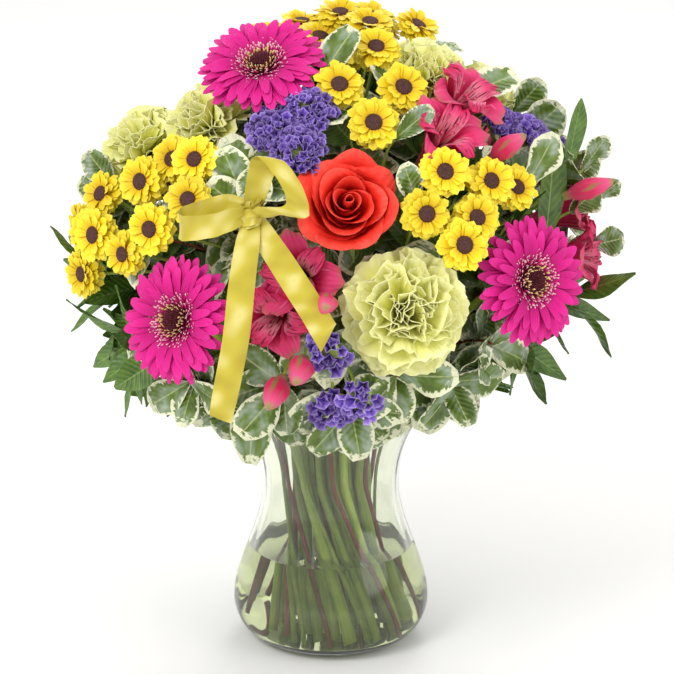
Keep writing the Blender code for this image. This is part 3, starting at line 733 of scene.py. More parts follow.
def cupped(radius, height, half_width, roll, flare, point):
    """A rose petal wrapped round the bloom's axis, its edge rolled out, in the bloom's own frame."""
    def place(across, along):
        width = half_width * math.sin(math.pi * (0.10 + 0.73 * along)) ** 0.75
        out = (radius * (0.12 + 0.88 * math.sin(math.pi / 2 * min(1, along * 1.5)))
            + flare * radius * along ** 2)
        past = max(0.0, along - 0.62) / 0.38
        edge = past ** 2 * (1 - 0.75 * across ** 2)
        out += roll * 0.024 * edge + across * radius * 0.12
        rise = (height * (along - 0.22 * across ** 2 * along ** 2
            + point * (1 - abs(across)) ** 2 * along ** 3))
        rise -= roll * 0.022 * edge * past
        turn = across * width / max(out, 0.003)
        return Vector((out * math.sin(turn), out * math.cos(turn), rise - 0.026))
    return blade(10, 9, place, 0.0005)


def rose():
    """The rose: whorls of petals from a tight spiral to rolled outer ones, over sepals and a hip."""
    centre, aim, *_ = max(flats("rose", 100), key=lambda flat: flat[2])
    middle = centre - aim * 0.38 * 0.050
    bloom = bloom_frame(middle, aim, 0.4)
    shape = new_shape()
    for ring, (count, radius, height, half, roll, flare, point) in enumerate(ROSE_PETALS):
        for i in range(count):
            petal = cupped(radius * chance.uniform(0.95, 1.05), height * chance.uniform(0.97, 1.03),
                half, roll * chance.uniform(0.6, 1.3), flare, point * chance.uniform(0.4, 1.6))
            sway = move(0, 0, -0.026) @ tilt_x(chance.uniform(-4, 3)) @ move(0, 0, 0.026)
            stamp(shape, petal, bloom @ turn_z(360 * i / count + ring * 47 + chance.uniform(-12, 12))
                @ sway, chance.random())
    hip = turned([(0.0, -0.022), (0.010, -0.0235), (0.0085, -0.0270), (0.0060, -0.0285),
        (0.0, -0.0290)], 20, 1)
    stamp(shape, hip, bloom)
    sepal = blade(4, 6, lambda across, along: Vector((across * 0.0042 * (1 - along) ** 0.7,
        0.028 * along, -0.010 * along ** 2)), 0.0005, 1)
    for i in range(5):
        stamp(shape, sepal, bloom @ turn_z(72 * i + 20) @ move(0, 0.006, -0.0250) @ tilt_x(25),
            chance.random())
    flower_stem(shape, "rose", middle - aim * 0.0285, aim, 0.0030, 12, 2, 0.4)
    return piece("rose_flower", shape, [rose_petal, calyx_green, green_stem], "rose_petals", "rose",
        "rose_stem")


# ---------------------------------------------------------------- sprays

def heads_of(node, least, most, back):
    """The blooms of a CAD spray: the middle and the aim of each face with an area in that range."""
    return [(centre - aim * back, aim) for centre, aim, area, corners in flats(node, least)
            if area < most and centre.z > RIM and faces_out((centre, aim))]


def branches(shape, node, heads, insets, slot):
    """The stem of a spray to its fork, and a branch to each bloom."""
    foot = stem_foot(node)
    aim = foot_direction(foot)
    fork = DOME_CENTRE + aim * min((middle - DOME_CENTRE).length for middle, _ in heads) * FORK_SHARE
    line = stem_line(foot, fork, aim)
    stamp(shape, tube(line, SPRAY_STEM, 10, slot, lambda along: 1.35 - 0.6 * along),
        tone=chance.random())
    for (middle, _), inset in zip(heads, insets):
        out = (middle - DOME_CENTRE).normalized()
        end = middle - out * inset
        start = line[-4]
        span = (end - start).length
        route = curve_points(start, start + aim * span * 0.35, end - out * span * 0.3, end, 9)
        stamp(shape, tube(route, 0.0011, 7, slot), tone=chance.random())


def pom_bloom(rays_out):
    """A button daisy: four rows of short notched rays round a flat brown eye, over a green cup."""
    shape = new_shape()
    for count, length, half, rise, height in ((rays_out - 3, 0.0100, 0.0024, -34, -0.0012),
            (rays_out, 0.0104, 0.0025, -14, 0.0000), (rays_out, 0.0106, 0.0025, 4, 0.0008),
            (rays_out - 4, 0.0086, 0.0023, 22, 0.0016)):
        def place(across, along, length=length, half=half):
            width = half * (0.50 + 0.50 * math.sin(math.pi / 2 * min(1, 1.4 * along)))
            notch = 0.06 * math.cos(across * 5) * along ** 4
            return Vector((across * width, length * (along - 0.12 * across ** 2 * along ** 3 + notch),
                0.0009 * math.sin(3 * along) + 0.0005 * across ** 2))
        petal = blade(2, 3, place, 0.0003)
        for i in range(count):
            around = 360 * (i + chance.uniform(-0.25, 0.25)) / count + rise * 3
            stamp(shape, petal, turn_z(around) @ move(0, 0.0040, height)
                @ tilt_x(rise + chance.uniform(-15, 13)) @ turn_z(chance.uniform(-11, 11))
                @ sized(0.84, 1.08), chance.random())
    stamp(shape, turned([(0, 0.0036), (0.0030, 0.0036), (0.0048, 0.0031), (0.0054, 0.0016),
        (0.0030, 0.0004)], 16, 1))
    stamp(shape, turned([(0.0066, 0.0004), (0.0050, -0.0022), (0.0020, -0.0044), (0, -0.0046)], 12, 2))
    return baked(shape, "pom_bloom")


def crowded(heads, extra, apart, drop):
    """More blooms of a spray between its own, each clear of every bloom placed before it."""
    added = []
    for i in range(extra * 40):
        if len(added) == extra:
            break
        middle, aim = heads[i % len(heads)]
        side = Quaternion(aim, chance.uniform(0, math.tau)) @ aim.orthogonal().normalized()
        place = middle + side * apart * chance.uniform(0.95, 1.3)
        out = (place - DOME_CENTRE).normalized()
        place -= out * chance.uniform(0.3, 1) * drop
        if all((place - other).length > radius + apart * 0.42 for other, radius in taken):
            added.append((place, (aim + out).normalized()))
            taken.append((place, apart * 0.42))
    return added


def pom_spray(name, blooms, extra):
    """A spray of button daisies on branched stems."""
    node = f"pom_spray_{name}"
    heads = heads_of(node, *SMALL_HEADS)
    heads += crowded(heads, extra, 0.0255, 0.010)
    shape = new_shape()
    branches(shape, node, heads, [0.003] * len(heads), 3)
    for middle, aim in heads:
        wobble = direction(chance.uniform(0, 360), chance.uniform(0, 14)).xy
        front = 0.45 if middle.y < 0.06 else 0.1
        tilted = (aim + Vector((wobble.x, -front, wobble.y))).normalized()
        stamp(shape, chance.choice(blooms), bloom_frame(middle, tilted, chance.uniform(0, 6))
            @ sized(1.08, 1.24), chance.random())
    return piece(f"{node}_flowers", shape, [pom_ray, pom_eye, calyx_green, dark_stem], "pom_petals",
        node)


def tepal(half_width, spread, reach, fold):
    """One tepal of an alstroemeria, in the bloom's own frame: it runs up the throat and flares out."""
    def place(across, along):
        width = (half_width * (0.16 + 0.84 * math.sin(math.pi * min(1,
            0.02 + 0.86 * along) ** 1.7) ** 0.8))
        out = 0.0022 + spread * along ** 1.9
        rise = -0.042 + reach * math.sin(math.pi / 2 * along ** 0.9) - 0.004 * max(0, along - 0.75) * 4
        tip = 0.10 * (1 - across ** 2) * along ** 3 * 0.02
        ruffle = 0.0012 * along ** 2 * math.sin(5.5 * across + spread * 900)
        return Vector((across * width, out + tip + fold * width * across ** 2 + ruffle,
            rise + 0.25 * width * across ** 2 + ruffle))
    return place


def alstroemeria_bloom():
    """An open alstroemeria: three broad tepals, three narrow streaked ones and curved stamens."""
    shape = new_shape()
    for i in range(3):
        outer = blade(6, 8, tepal(0.0110, chance.uniform(0.020, 0.024), 0.046, -0.25), 0.0004, 0)
        inner = blade(5, 8, tepal(0.0072, chance.uniform(0.015, 0.019), 0.051, -0.15), 0.0004, 1)
        stamp(shape, outer, turn_z(120 * i + chance.uniform(-6, 6)), chance.random())
        stamp(shape, inner, turn_z(120 * i + 60 + chance.uniform(-6, 6)) @ move(0, -0.001, 0),
            chance.random())
    for i in range(6):
        lean = Vector((math.sin(i * 1.05), math.cos(i * 1.05), 0))
        start, end = Vector((0, 0, -0.030)), lean * 0.007 + Vector((0, 0.004, 0.004))
        route = curve_points(start, start + Vector((0, 0, 0.015)),
            end - lean * 0.003 - Vector((0, 0, 0.008)), end, 6)
        stamp(shape, tube(route, 0.0005, 5, 0), tone=0.2)
        stamp(shape, turned([(0, 0.0016), (0.0009, 0.0008), (0.0009, -0.0008), (0, -0.0016)], 6, 2),
            Matrix.Translation(end), 0.5, 1)
    stamp(shape, turned([(0.0, -0.0375), (0.0036, -0.0385), (0.0034, -0.0430), (0.0012, -0.0470),
        (0, -0.0472)], 12, 2, lambda turn, point: 0.08 * math.cos(6 * turn)))
    return baked(shape, "alstroemeria_bloom")


def alstroemeria_bud():
    """A closed bud, as six tepals folded into a ridged point, green at its base."""
    return turned([(0, 0.030), (0.0022, 0.0275), (0.0052, 0.020), (0.0064, 0.013), (0.0052, 0.006),
        (0.0030, 0.001), (0.0024, -0.004), (0, -0.005)], 24, 0, lambda turn,
        point: 0.10 * math.cos(3 * turn) + 0.04 * math.cos(6 * turn))


def alstroemeria(name, blooms, bud):
    """A spray of alstroemeria: open blooms and buds on thin branches."""
    node = f"alstroemeria_{name}"
    open_heads = heads_of(node, *TRUMPET_HEADS)
    buds = heads_of(node, *BUD_HEADS)
    shape = new_shape()
    branches(shape, node, open_heads + buds, [0.040] * len(open_heads) + [-0.002] * len(buds), 3)
    for middle, aim in open_heads:
        stamp(shape, chance.choice(blooms), bloom_frame(middle, aim, chance.uniform(0, 6))
            @ Matrix.Scale(1.2, 4), chance.random())
    for middle, aim in buds:
        stamp(shape, bud, bloom_frame(middle, aim) @ Matrix.Scale(1.35 if name == "low" else 1.15, 4),
            chance.random(), 4)
    return piece(f"{node}_flowers", shape, [alstroemeria_tepal, alstroemeria_streaked, calyx_green,
        dark_stem, alstroemeria_skin], "alstroemeria_petals", node)


def statice_floret():
    """A statice floret: a papery funnel with five frilled lobes."""
    def place(across, along):
        turn = math.pi * across
        out = 0.0005 + 0.0031 * along ** 1.3 * (1 + 0.22 * math.cos(5 * turn))
        return Vector((out * math.cos(turn), out * math.sin(turn),
            0.0056 * along - 0.0008 * along * math.cos(5 * turn)
            + 0.0007 * along * math.sin(10 * turn)))
    return blade(10, 2, place, 0.00012, 0)


def statice(name, florets):
    """A spray of statice: tufts of papery funnels on branches."""
    node = f"statice_{name}"
    tufts = heads_of(node, *TUFT_HEADS)
    shape = new_shape()
    branches(shape, node, tufts, [0.004] * len(tufts), 1)
    count, wide, size = (15, 0.0115, 1.25) if name == "low" else (56, 0.0170, 1.0)
    for middle, aim in tufts:
        frame_here = bloom_frame(middle, aim)
        for i in range(count):
            out = wide * math.sqrt((i + 0.5) / count)
            around = math.radians(GOLDEN_ANGLE * i)
            spot = Vector((math.cos(around) * out, math.sin(around) * out,
                0.005 - 26 * out ** 2 + chance.uniform(-0.0025, 0.0025)))
            way = (Vector((spot.x * 60, spot.y * 60, 1)) + Vector([chance.uniform(-0.5, 0.5)
                for _ in range(3)])).normalized()
            place = (frame_here @ bloom_frame(spot, way, chance.uniform(0, 6))
                @ Matrix.Scale(size * chance.uniform(0.8, 1.2), 4))
            stamp(shape, chance.choice(florets), place, chance.random(), 0)
        stamp(shape, turned([(0, 0.004), (0.006, 0.003), (0.009, -0.001), (0.004, -0.006),
            (0, -0.008)], 10, 1), frame_here)
    return piece(f"{node}_flowers", shape, [statice_paper, dark_stem], "statice_florets", node)


# ---------------------------------------------------------------- leaves

# A leaf's outline: its narrowest share, where it starts, its stretch, its two powers and its waves
OBOVATE = (0.08, 0.02, 0.93, 1.35, 0.75, 9)
LANCE = (0.05, 0.03, 0.955, 0.85, 0.9, 8)


def leaf(outline, length, half_width, wave, fold, curl, columns, rows):
    """A leaf: waved along its edge, folded on its rib and curled down at its tip."""
    least, start, stretch, skew, fullness, waves = outline

    def place(across, along):
        bulge = math.sin(math.pi * (start + stretch * along) ** skew) ** fullness
        width = half_width * (least + (1 - least) * bulge)
        edge = wave * half_width * across ** 2 * math.sin(waves * along + 2 * across)
        lift = fold * width * abs(across) + edge - curl * length * along ** 2
        return Vector((across * width, length * along, lift))
    return blade(columns, rows, place, 0.0004 if length < 0.5 else 0.012)


def plates_of(node, least):
    """The leaves of a CAD sprig: the base, the way out and the upper side of each flat plate."""
    found = []
    for centre, normal, area, corners in flats(node, least):
        for other in found:
            if abs(other[1].dot(normal)) > 0.999 and (other[0] - centre).length < 0.003:
                break
        else:
            mid = sum(corners, Vector()) / len(corners)
            far = max(corners, key=lambda corner: (corner - mid).length)
            near = max(corners, key=lambda corner: (corner - far).length)
            found.append((centre, normal, far.copy(), near.copy()))
    leaves = []
    for leaf in found:
        others = [end for other in found if other is not leaf for end in other[2:]]
        if others:
            cost = [sum(sorted((end - other).length for other in others)[:len(found) - 1])
                for end in leaf[2:]]
        else:
            cost = [(end - DOME_CENTRE).length for end in leaf[2:]]
        base, tip = (leaf[2], leaf[3]) if cost[0] < cost[1] else (leaf[3], leaf[2])
        leaves.append((base, (tip - base), leaf[1]))
    return leaves


def over_a_bloom(tip):
    """True where a leaf's tip would stand in front of a bloom."""
    out = tip - DOME_CENTRE
    return any(out.angle(middle - DOME_CENTRE) < radius / BLOOM_SHELL
        and out.length > (middle - DOME_CENTRE).length - 0.016 for middle, radius in taken)


def whorl(shape, line, leaves, count, back, step, opening, size):
    """Leaves round the end of a twig, each turned by the golden angle from the one before."""
    for i in range(count):
        place = back + i * step
        low = min(int(place), len(line) - 2)
        base = line[-1 - low].lerp(line[-2 - low], place - low)
        heading = (line[-1 - low] - line[-2 - low]).normalized()
        side = (Quaternion(heading, math.radians(137.5 * i)) @ heading.orthogonal()).normalized()
        open_by = math.radians(chance.uniform(opening - 14, opening + 14) + (8 if i < 3 else 0))
        way = heading * math.cos(open_by) + side * math.sin(open_by)
        if over_a_bloom(base + way * 0.042 * size) or over_a_bloom(base + way * 0.025 * size):
            continue
        stamp(shape, chance.choice(leaves), standing(base, way, heading - way * heading.dot(way))
            @ Matrix.Scale(size * chance.uniform(0.8, 1.05), 4), chance.random(), 0)


def sprig(node, leaves, small, least, material, twig, slot, stretch):
    """A leafy branch: the leaves in its CAD, more down its twig, and shoots between the blooms."""
    plates = plates_of(node, least)
    bases = [base for base, way, up in plates]
    foot = stem_foot(node)
    inner = min(bases, key=lambda base: (base - Vector((0, 0, NECK_HEIGHT))).length)
    outer = max(bases, key=lambda base: (base - inner).length)
    aim = (outer - inner).normalized()
    line = stem_line(foot, outer + aim * 0.004, aim, 0.42, 20)
    shape = new_shape()
    stamp(shape, tube(line, 0.0015, 8, 1, lambda along: 1.25 - 0.6 * along), tone=chance.random())
    for base, way, up in plates:
        up = up if up.dot(aim) > 0 else -up
        place = (standing(base, way.normalized() + aim * 0.05, up)
            @ Matrix.Scale(way.length / stretch, 4))
        stamp(shape, chance.choice(leaves), place, chance.random(), 0)
    whorl(shape, line, leaves, 7, 2.2, 0.9, 60, 0.9)
    for spot in shoots[node]:
        out = (spot - DOME_CENTRE).normalized()
        if out.z < -0.5:
            out = (out - FACE_UP * 0.7).normalized()
        start = line[-9]
        span = (spot - start).length
        route = curve_points(start, start + (line[-8] - start).normalized() * span * 0.3,
            spot - out * span * 0.35, spot, 10)
        stamp(shape, tube(route, 0.0009, 5, 1), tone=chance.random())
        whorl(shape, route, small, 6, 0.1, 0.45, 52, 1.0)
    return piece(f"{node}_foliage", shape, [material, twig], slot, node)


WINGS = [(97, 60, 0.184), (92, 76, 0.184), (101, 47, 0.176), (90, 66, 0.180), (98, 86, 0.180),
    (108, 70, 0.180), (70, 36, 0.172), (-97, 64, 0.166), (-92, 52, 0.168), (-103, 80, 0.168),
    (-34, 47, 0.166), (-28, 52, 0.166), (-12, 31, 0.168), (-6, 22, 0.172), (24, 20, 0.172),
    (44, 28, 0.170), (62, 62, 0.172), (-40, 55, 0.168), (180, 10, 0.168), (150, 26, 0.168),
    (-150, 26, 0.164), (95, 22, 0.168), (-85, 20, 0.162), (180, 40, 0.166), (-70, 40, 0.158),
    (-60, 72, 0.150), (20, 80, 0.150), (-84, 58, 0.160), (-86, 70, 0.170)]


def shoot_places(sprigs, count):
    """Where the side shoots end: spread evenly round the dome, deeper where a bloom covers them."""
    places = {node: [] for node in sprigs}
    ways = {node: foot_direction(stem_foot(node)) for node in sprigs}
    for i in range(count):
        lean = math.degrees(math.acos(1 - 1.42 * (i + 0.5) / count))
        out = direction(GOLDEN_ANGLE * i, lean)
        nearest = min((math.degrees(out.angle(middle - DOME_CENTRE))
            - math.degrees(radius / BLOOM_SHELL) for middle, radius in taken))
        reach = 0.104 if nearest < 0 else 0.118 if nearest < 4 else 0.146
        owner = min(sprigs, key=lambda node: ways[node].angle(out) + chance.uniform(0, 0.25))
        places[owner].append(DOME_CENTRE + out * reach)
    for azimuth, lean, reach in WINGS:
        out = direction(azimuth, lean)
        owner = min(sprigs, key=lambda node: ways[node].angle(out)
            + (1 if node.startswith("pointed") else 0))
        places[owner].append(DOME_CENTRE + out * reach)
    for i in range(15):
        out = direction(24 * i + chance.uniform(-5, 5), chance.uniform(123, 130))
        owner = min(sprigs, key=lambda node: ways[node].angle(out))
        places[owner].append(DOME_CENTRE + out * chance.uniform(0.112, 0.122))
    return places


LARGE_LEAVES = [
    # base, tip, half width and material slot of each large leaf: those over the vase's rim first
    ((0.037, -0.096, 0.234), (0.010, -0.106, 0.194), 0.0185, 0),
    ((0.058, -0.086, 0.228), (0.015, -0.099, 0.181), 0.0200, 0),
    ((-0.050, -0.104, 0.250), (-0.057, -0.108, 0.170), 0.0150, 0),
    ((-0.048, -0.106, 0.250), (-0.032, -0.108, 0.186), 0.0130, 2),
    ((-0.004, -0.094, 0.226), (-0.024, -0.100, 0.192), 0.0150, 0),
    ((0.082, -0.076, 0.228), (0.132, -0.072, 0.242), 0.0170, 0),
    ((0.096, -0.078, 0.236), (0.068, -0.086, 0.203), 0.0165, 0),
    ((-0.082, -0.074, 0.220), (-0.108, -0.078, 0.196), 0.0140, 0),
    ((0.080, -0.060, 0.222), (0.098, -0.066, 0.188), 0.0150, 0),
    ((-0.066, -0.066, 0.214), (-0.072, -0.080, 0.178), 0.0150, 0),
    ((0.012, -0.090, 0.214), (0.036, -0.098, 0.184), 0.0140, 0),
    ((0.078, -0.064, 0.220), (0.064, -0.080, 0.184), 0.0160, 0),
    ((-0.036, -0.080, 0.216), (-0.060, -0.084, 0.186), 0.0150, 0),
    ((0.066, 0.066, 0.216), (0.078, 0.082, 0.176), 0.0165, 0),
    ((-0.060, 0.070, 0.218), (-0.074, 0.082, 0.180), 0.0160, 0),
    ((0.000, 0.090, 0.220), (-0.010, 0.104, 0.182), 0.0170, 0),
    ((0.094, 0.010, 0.220), (0.106, 0.000, 0.184), 0.0160, 0),
    ((-0.094, 0.006, 0.218), (-0.104, -0.012, 0.182), 0.0160, 0),
    ((0.150, -0.052, 0.320), (0.155, -0.054, 0.389), 0.0125, 2),
    ((0.167, -0.012, 0.361), (0.176, -0.010, 0.407), 0.0095, 2),
    ((0.129, 0.020, 0.389), (0.150, 0.018, 0.413), 0.0120, 0),
    ((0.134, 0.000, 0.374), (0.162, -0.002, 0.400), 0.0155, 0),
    ((0.166, 0.004, 0.348), (0.190, 0.002, 0.361), 0.0115, 0),
    ((0.178, 0.000, 0.352), (0.195, 0.000, 0.377), 0.0115, 0),
    ((0.188, -0.010, 0.334), (0.204, -0.010, 0.347), 0.0085, 0),
    ((0.168, -0.030, 0.330), (0.188, -0.028, 0.346), 0.0125, 0),
    ((0.184, -0.024, 0.304), (0.207, -0.024, 0.309), 0.0115, 0),
    ((-0.152, -0.030, 0.350), (-0.171, -0.028, 0.373), 0.0120, 0),
    ((-0.156, -0.026, 0.340), (-0.177, -0.024, 0.351), 0.0100, 0),
    ((-0.054, -0.124, 0.355), (-0.073, -0.116, 0.399), 0.0145, 0),
    ((-0.052, -0.126, 0.356), (-0.050, -0.130, 0.389), 0.0130, 0),
    ((-0.056, -0.124, 0.354), (-0.083, -0.122, 0.377), 0.0135, 0),
    ((0.014, -0.092, 0.397), (-0.004, -0.094, 0.419), 0.0130, 2),
    ((0.042, -0.110, 0.403), (0.068, -0.108, 0.425), 0.0085, 0),
    ((0.058, -0.128, 0.362), (0.049, -0.134, 0.393), 0.0095, 0),
    ((-0.120, -0.090, 0.240), (-0.150, -0.096, 0.222), 0.0120, 2),
]


def large_leaves():
    """Large leaves on twigs of their own, over the rim of the vase and round the edge of the dome."""
    shape = new_shape()
    broad = [leaf(OBOVATE, 1.0, 1.0, 0.12, fold, curl, 10, 12) for fold,
        curl in ((0.1, 0.06), (0.22, 0.12), (0.0, -0.04))]
    pointed_one = [leaf(LANCE, 1.0, 1.0, 0.1, 0.2, 0.06, 8, 14)]
    for base, tip, half, slot in LARGE_LEAVES:
        base, tip = Vector(base), Vector(tip)
        out = Vector((base.x, base.y - (0.16 if base.y < 0.03 else 0),
            max(0.02, base.z - DOME_CENTRE.z))).normalized()
        way = tip - base
        size = Matrix.Diagonal((half, way.length, half, 1))
        stamp(shape, chance.choice(pointed_one if slot == 2 else broad),
            standing(base, way, out) @ size, chance.random(), slot)
        root = Vector((base.x * 0.35, base.y * 0.35, RIM + 0.010))
        route = curve_points(root, root + FACE_UP * 0.03, base - way * 0.4 + FACE_UP * 0.01,
            base + way * 0.02, 8)
        stamp(shape, tube(route, 0.0010, 6, 1), tone=chance.random())
    piece("large_foliage", shape, [variegated_leaf, dark_stem, plain_leaf], "variegated_leaf")


# ---------------------------------------------------------------- ribbon

KNOT = DOME_CENTRE + direction(-17, 63) * 0.202
RIBBON_WIDTH = 0.018
BANDS = [
    # each band: offset from the knot, the way its width runs, and the share of the width shown
    [((0, -0.002, -0.002), (1, 0.3, 0.2), 0.62), ((-0.002, -0.012, -0.016), (1, 0.15, 0.1), 0.9),
     ((-0.006, -0.018, -0.045), (1, 0.1, 0.1), 1),
     ((-0.010, -0.021, -0.080), (1, 0.0, 0.08), 1), ((-0.016, -0.020, -0.112), (1, -0.1, 0.08), 1),
     ((-0.021, -0.018, -0.138), (0.9, -0.1, 0.32), 1)],
    [((0.001, 0.002, -0.002), (0.9, 0.3, 0.5), 0.62), ((0.011, -0.008, -0.017), (0.9, 0.1, 0.42), 0.9),
     ((0.027, -0.014, -0.041), (0.9, 0.1, 0.42), 1),
     ((0.040, -0.018, -0.061), (0.9, 0.15, 0.40), 1), ((0.051, -0.020, -0.080), (0.85, 0.2, 0.45), 1)],
    [((-0.001, -0.004, 0.001), (0.1, -0.2, 1), 0.68), ((-0.014, -0.013, -0.001), (0.1, -0.2, 1), 0.95),
     ((-0.032, -0.013, -0.006), (0.06, -0.2, 1), 1),
     ((-0.045, -0.006, -0.008), (0, -0.1, 1), 1), ((-0.046, -0.001, -0.006), (0, 0, 1), 1),
     ((-0.034, 0.004, -0.002), (0.1, 0.2, 1), 1),
     ((-0.016, 0.005, 0.003), (0.1, 0.2, 1), 0.9), ((-0.001, 0.003, 0.001), (0.1, 0.1, 1), 0.68)],
    [((0.002, -0.004, -0.001), (-0.9, -0.2, 0.4), 0.68),
     ((0.014, -0.013, 0.004), (-0.9, -0.2, 0.4), 0.95), ((0.029, -0.012, 0.004), (-0.85, -0.2, 0.5), 1),
     ((0.031, -0.010, 0.010), (-0.85, -0.2, 0.5), 1), ((0.024, -0.008, 0.026), (-0.9, -0.1, 0.3), 1),
     ((0.014, -0.002, 0.037), (-0.95, 0, 0.2), 1),
     ((0.009, 0.003, 0.034), (-0.95, 0.1, 0.15), 1), ((0.005, 0.005, 0.018), (-0.95, 0.2, 0.1), 0.9),
     ((0.001, 0.003, 0.001), (-0.9, 0.2, 0.1), 0.68)],
]


def even(values, where):
    """A smooth value at a place along a row of values, by the Catmull-Rom rule."""
    low = min(int(where), len(values) - 2)
    t = where - low
    a, b, c, d = (values[max(0, min(len(values) - 1, low + k))] for k in (-1, 0, 1, 2))
    return ((b * 2 + (c - a) * t + (a * 2 - b * 5 + c * 4 - d) * t ** 2
        + (b * 3 - a - c * 3 + d) * t ** 3) * 0.5)


def ribbon():
    """The bow: two tails, two folded loops and the wrap round the knot, cut from one satin ribbon."""
    shape = new_shape()
    for number, band in enumerate(BANDS):
        offsets = [Vector(offset) for offset, side, share in band]
        sides = [Vector(side).normalized() for offset, side, share in band]
        shares = [Vector((share, 0, 0)) for offset, side, share in band]
        rows = 8 * (len(band) - 1)
        cut = 0.5 if number < 2 else 0.0

        def place(across, along):
            where = along * (len(band) - 1)
            side = even(sides, where).normalized()
            width = RIBBON_WIDTH * even(shares, where).x
            slant = cut * max(0.0, along - 0.9) * 10 * (across if number == 0 else -across) * 0.012
            way = (even(offsets, min(where + 0.05, len(band) - 1))
                - even(offsets, max(where - 0.05, 0))).normalized()
            face = side.cross(way)
            pleat = (1 - even(shares, where).x) * 0.004 * math.cos(across * 7)
            ripple = 0.0007 * math.sin(where * 4.2 + number) + 0.0004 * math.sin(where * 9.5)
            return (KNOT + even(offsets, where) + side * across * width / 2
                + face * (0.0012 * across ** 2 + pleat + ripple) + way * slant)
        stamp(shape, blade(6, rows, place, 0.00025))
    for turn, tall in ((0.0, 0.0078), (0.5, 0.0060)):
        def wrap(across, along, turn=turn, tall=tall):
            angle = math.tau * along + turn
            out = 0.0068 + 0.0008 * math.cos(across * 6) + turn * 0.001
            return (KNOT + Vector((math.cos(angle) * out * 0.9, math.sin(angle) * out - 0.002,
                across * tall + 0.002 * math.cos(angle))))
        stamp(shape, blade(6, 24, wrap, 0.00025))
    bow = piece("satin_bow", shape, [satin_ribbon], "ribbon", "ribbon_bow")
    inward = (DOME_CENTRE - KNOT).normalized()
    pick = new_shape()
    route = curve_points(KNOT + inward * 0.001, KNOT + inward * 0.03, KNOT + inward * 0.08,
        KNOT + inward * 0.11 - FACE_UP * 0.02, 10)
    stamp(pick, tube(route, 0.0014, 8), tone=0.5)
    piece("bow_pick", pick, [dark_stem], "stem")


# ---------------------------------------------------------------- vase and water

FOOT_RADIUS, BELLY_RADIUS, BELLY_HEIGHT = 0.044, 0.0712, 0.028
WAIST_RADIUS, WAIST_HEIGHT, RIM_RADIUS = 0.0495, 0.116, 0.072
GLASS_WALL, GLASS_FLOOR, WATER_LEVEL = 0.0034, 0.010, 0.070


def vase_radius(height):
    """The vase's outer radius: a round foot corner, a belly, a waist and a flared rim."""
    if height < BELLY_HEIGHT:
        corner = math.sqrt(max(0.0, 1 - (1 - height / BELLY_HEIGHT) ** 2))
        return FOOT_RADIUS + (BELLY_RADIUS - FOOT_RADIUS) * corner
    if height < WAIST_HEIGHT:
        up = (height - BELLY_HEIGHT) / (WAIST_HEIGHT - BELLY_HEIGHT)
        return BELLY_RADIUS + (WAIST_RADIUS - BELLY_RADIUS) * (3 * up ** 2 - 2 * up ** 3)
    flare = (height - WAIST_HEIGHT) / (RIM - WAIST_HEIGHT)
    return WAIST_RADIUS + (RIM_RADIUS - WAIST_RADIUS) * flare ** 2.4


def wall(bottom, top, inset):
    """Points up a line that keeps a distance inside the vase's outer face."""
    corner = [BELLY_HEIGHT * (1 - math.cos(math.radians(turn))) for turn in range(0, 90, 9)]
    above = [BELLY_HEIGHT + (RIM - BELLY_HEIGHT) * i / 30 for i in range(30)]
    heights = [bottom] + [h for h in corner + above if bottom + 0.0008 < h < top - 0.0008] + [top]
    return [(vase_radius(h) - inset, h) for h in heights]


def vase():
    """The glass: a thin wall with faint upright flutes, over a thick floor with a shallow kick."""
    inner = ([(0, GLASS_FLOOR + 0.001), (0.02, GLASS_FLOOR)]
        + wall(GLASS_FLOOR + 0.001, RIM - 0.0012, GLASS_WALL))
    rim = [(RIM_RADIUS - GLASS_WALL * 0.8, RIM - 0.0003), (RIM_RADIUS - GLASS_WALL * 0.5, RIM),
        (RIM_RADIUS - GLASS_WALL * 0.2, RIM - 0.0003)]
    outer = list(reversed(wall(0.0006, RIM - 0.0012, 0)))
    base = [(FOOT_RADIUS + 0.002, 0), (FOOT_RADIUS - 0.008, 0), (FOOT_RADIUS - 0.012, 0.002),
        (0, 0.003)]
    flute = lambda turn, point: 0.004 * math.cos(16 * turn) * min(1, point.z / 0.03) * min(1,
        (RIM - point.z) / 0.04)
    shape = new_shape()
    stamp(shape, turned(inner + rim + outer + base, 128, 0, flute))
    return piece("vase_glass", shape, [clear_glass], "glass", "glass_vase")


def water():
    """The water: it wets the glass, climbs it a little at its edge and runs into the wall by a hair."""
    side = wall(GLASS_FLOOR + 0.0008, WATER_LEVEL + 0.001, GLASS_WALL - 0.0004)
    edge = side[-1][0]
    surface_line = [(0, WATER_LEVEL), (edge - 0.004, WATER_LEVEL),
        (edge - 0.0015, WATER_LEVEL + 0.0003)]
    profile = surface_line + list(reversed(side)) + [(0, GLASS_FLOOR + 0.0006)]
    shape = new_shape()
    stamp(shape, turned(profile, 96))
    return piece("vase_water", shape, [vase_water], "water", "water")


# ---------------------------------------------------------------- making it all

taken = []
for node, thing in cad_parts.items():
    if node.startswith(("gerbera", "carnation", "rose")) and not node.endswith("_stem"):
        low, high = (Vector(corner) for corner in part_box(node))
        taken.append(((low + high) / 2, 0.042 if node.startswith("gerbera") else 0.034))
    elif node.startswith(("pom_spray", "statice")):
        taken += [(middle, 0.0107) for middle, aim in heads_of(node, *SMALL_HEADS)]
    elif node == "pointed_sprig_right_high":
        taken += [(base + way * 0.5, 0.012) for base, way, up in plates_of(node, LANCE_AREA)]
    elif node.startswith("alstroemeria"):
        taken += [(middle, 0.022) for middle, aim in heads_of(node, *TRUMPET_HEADS)]

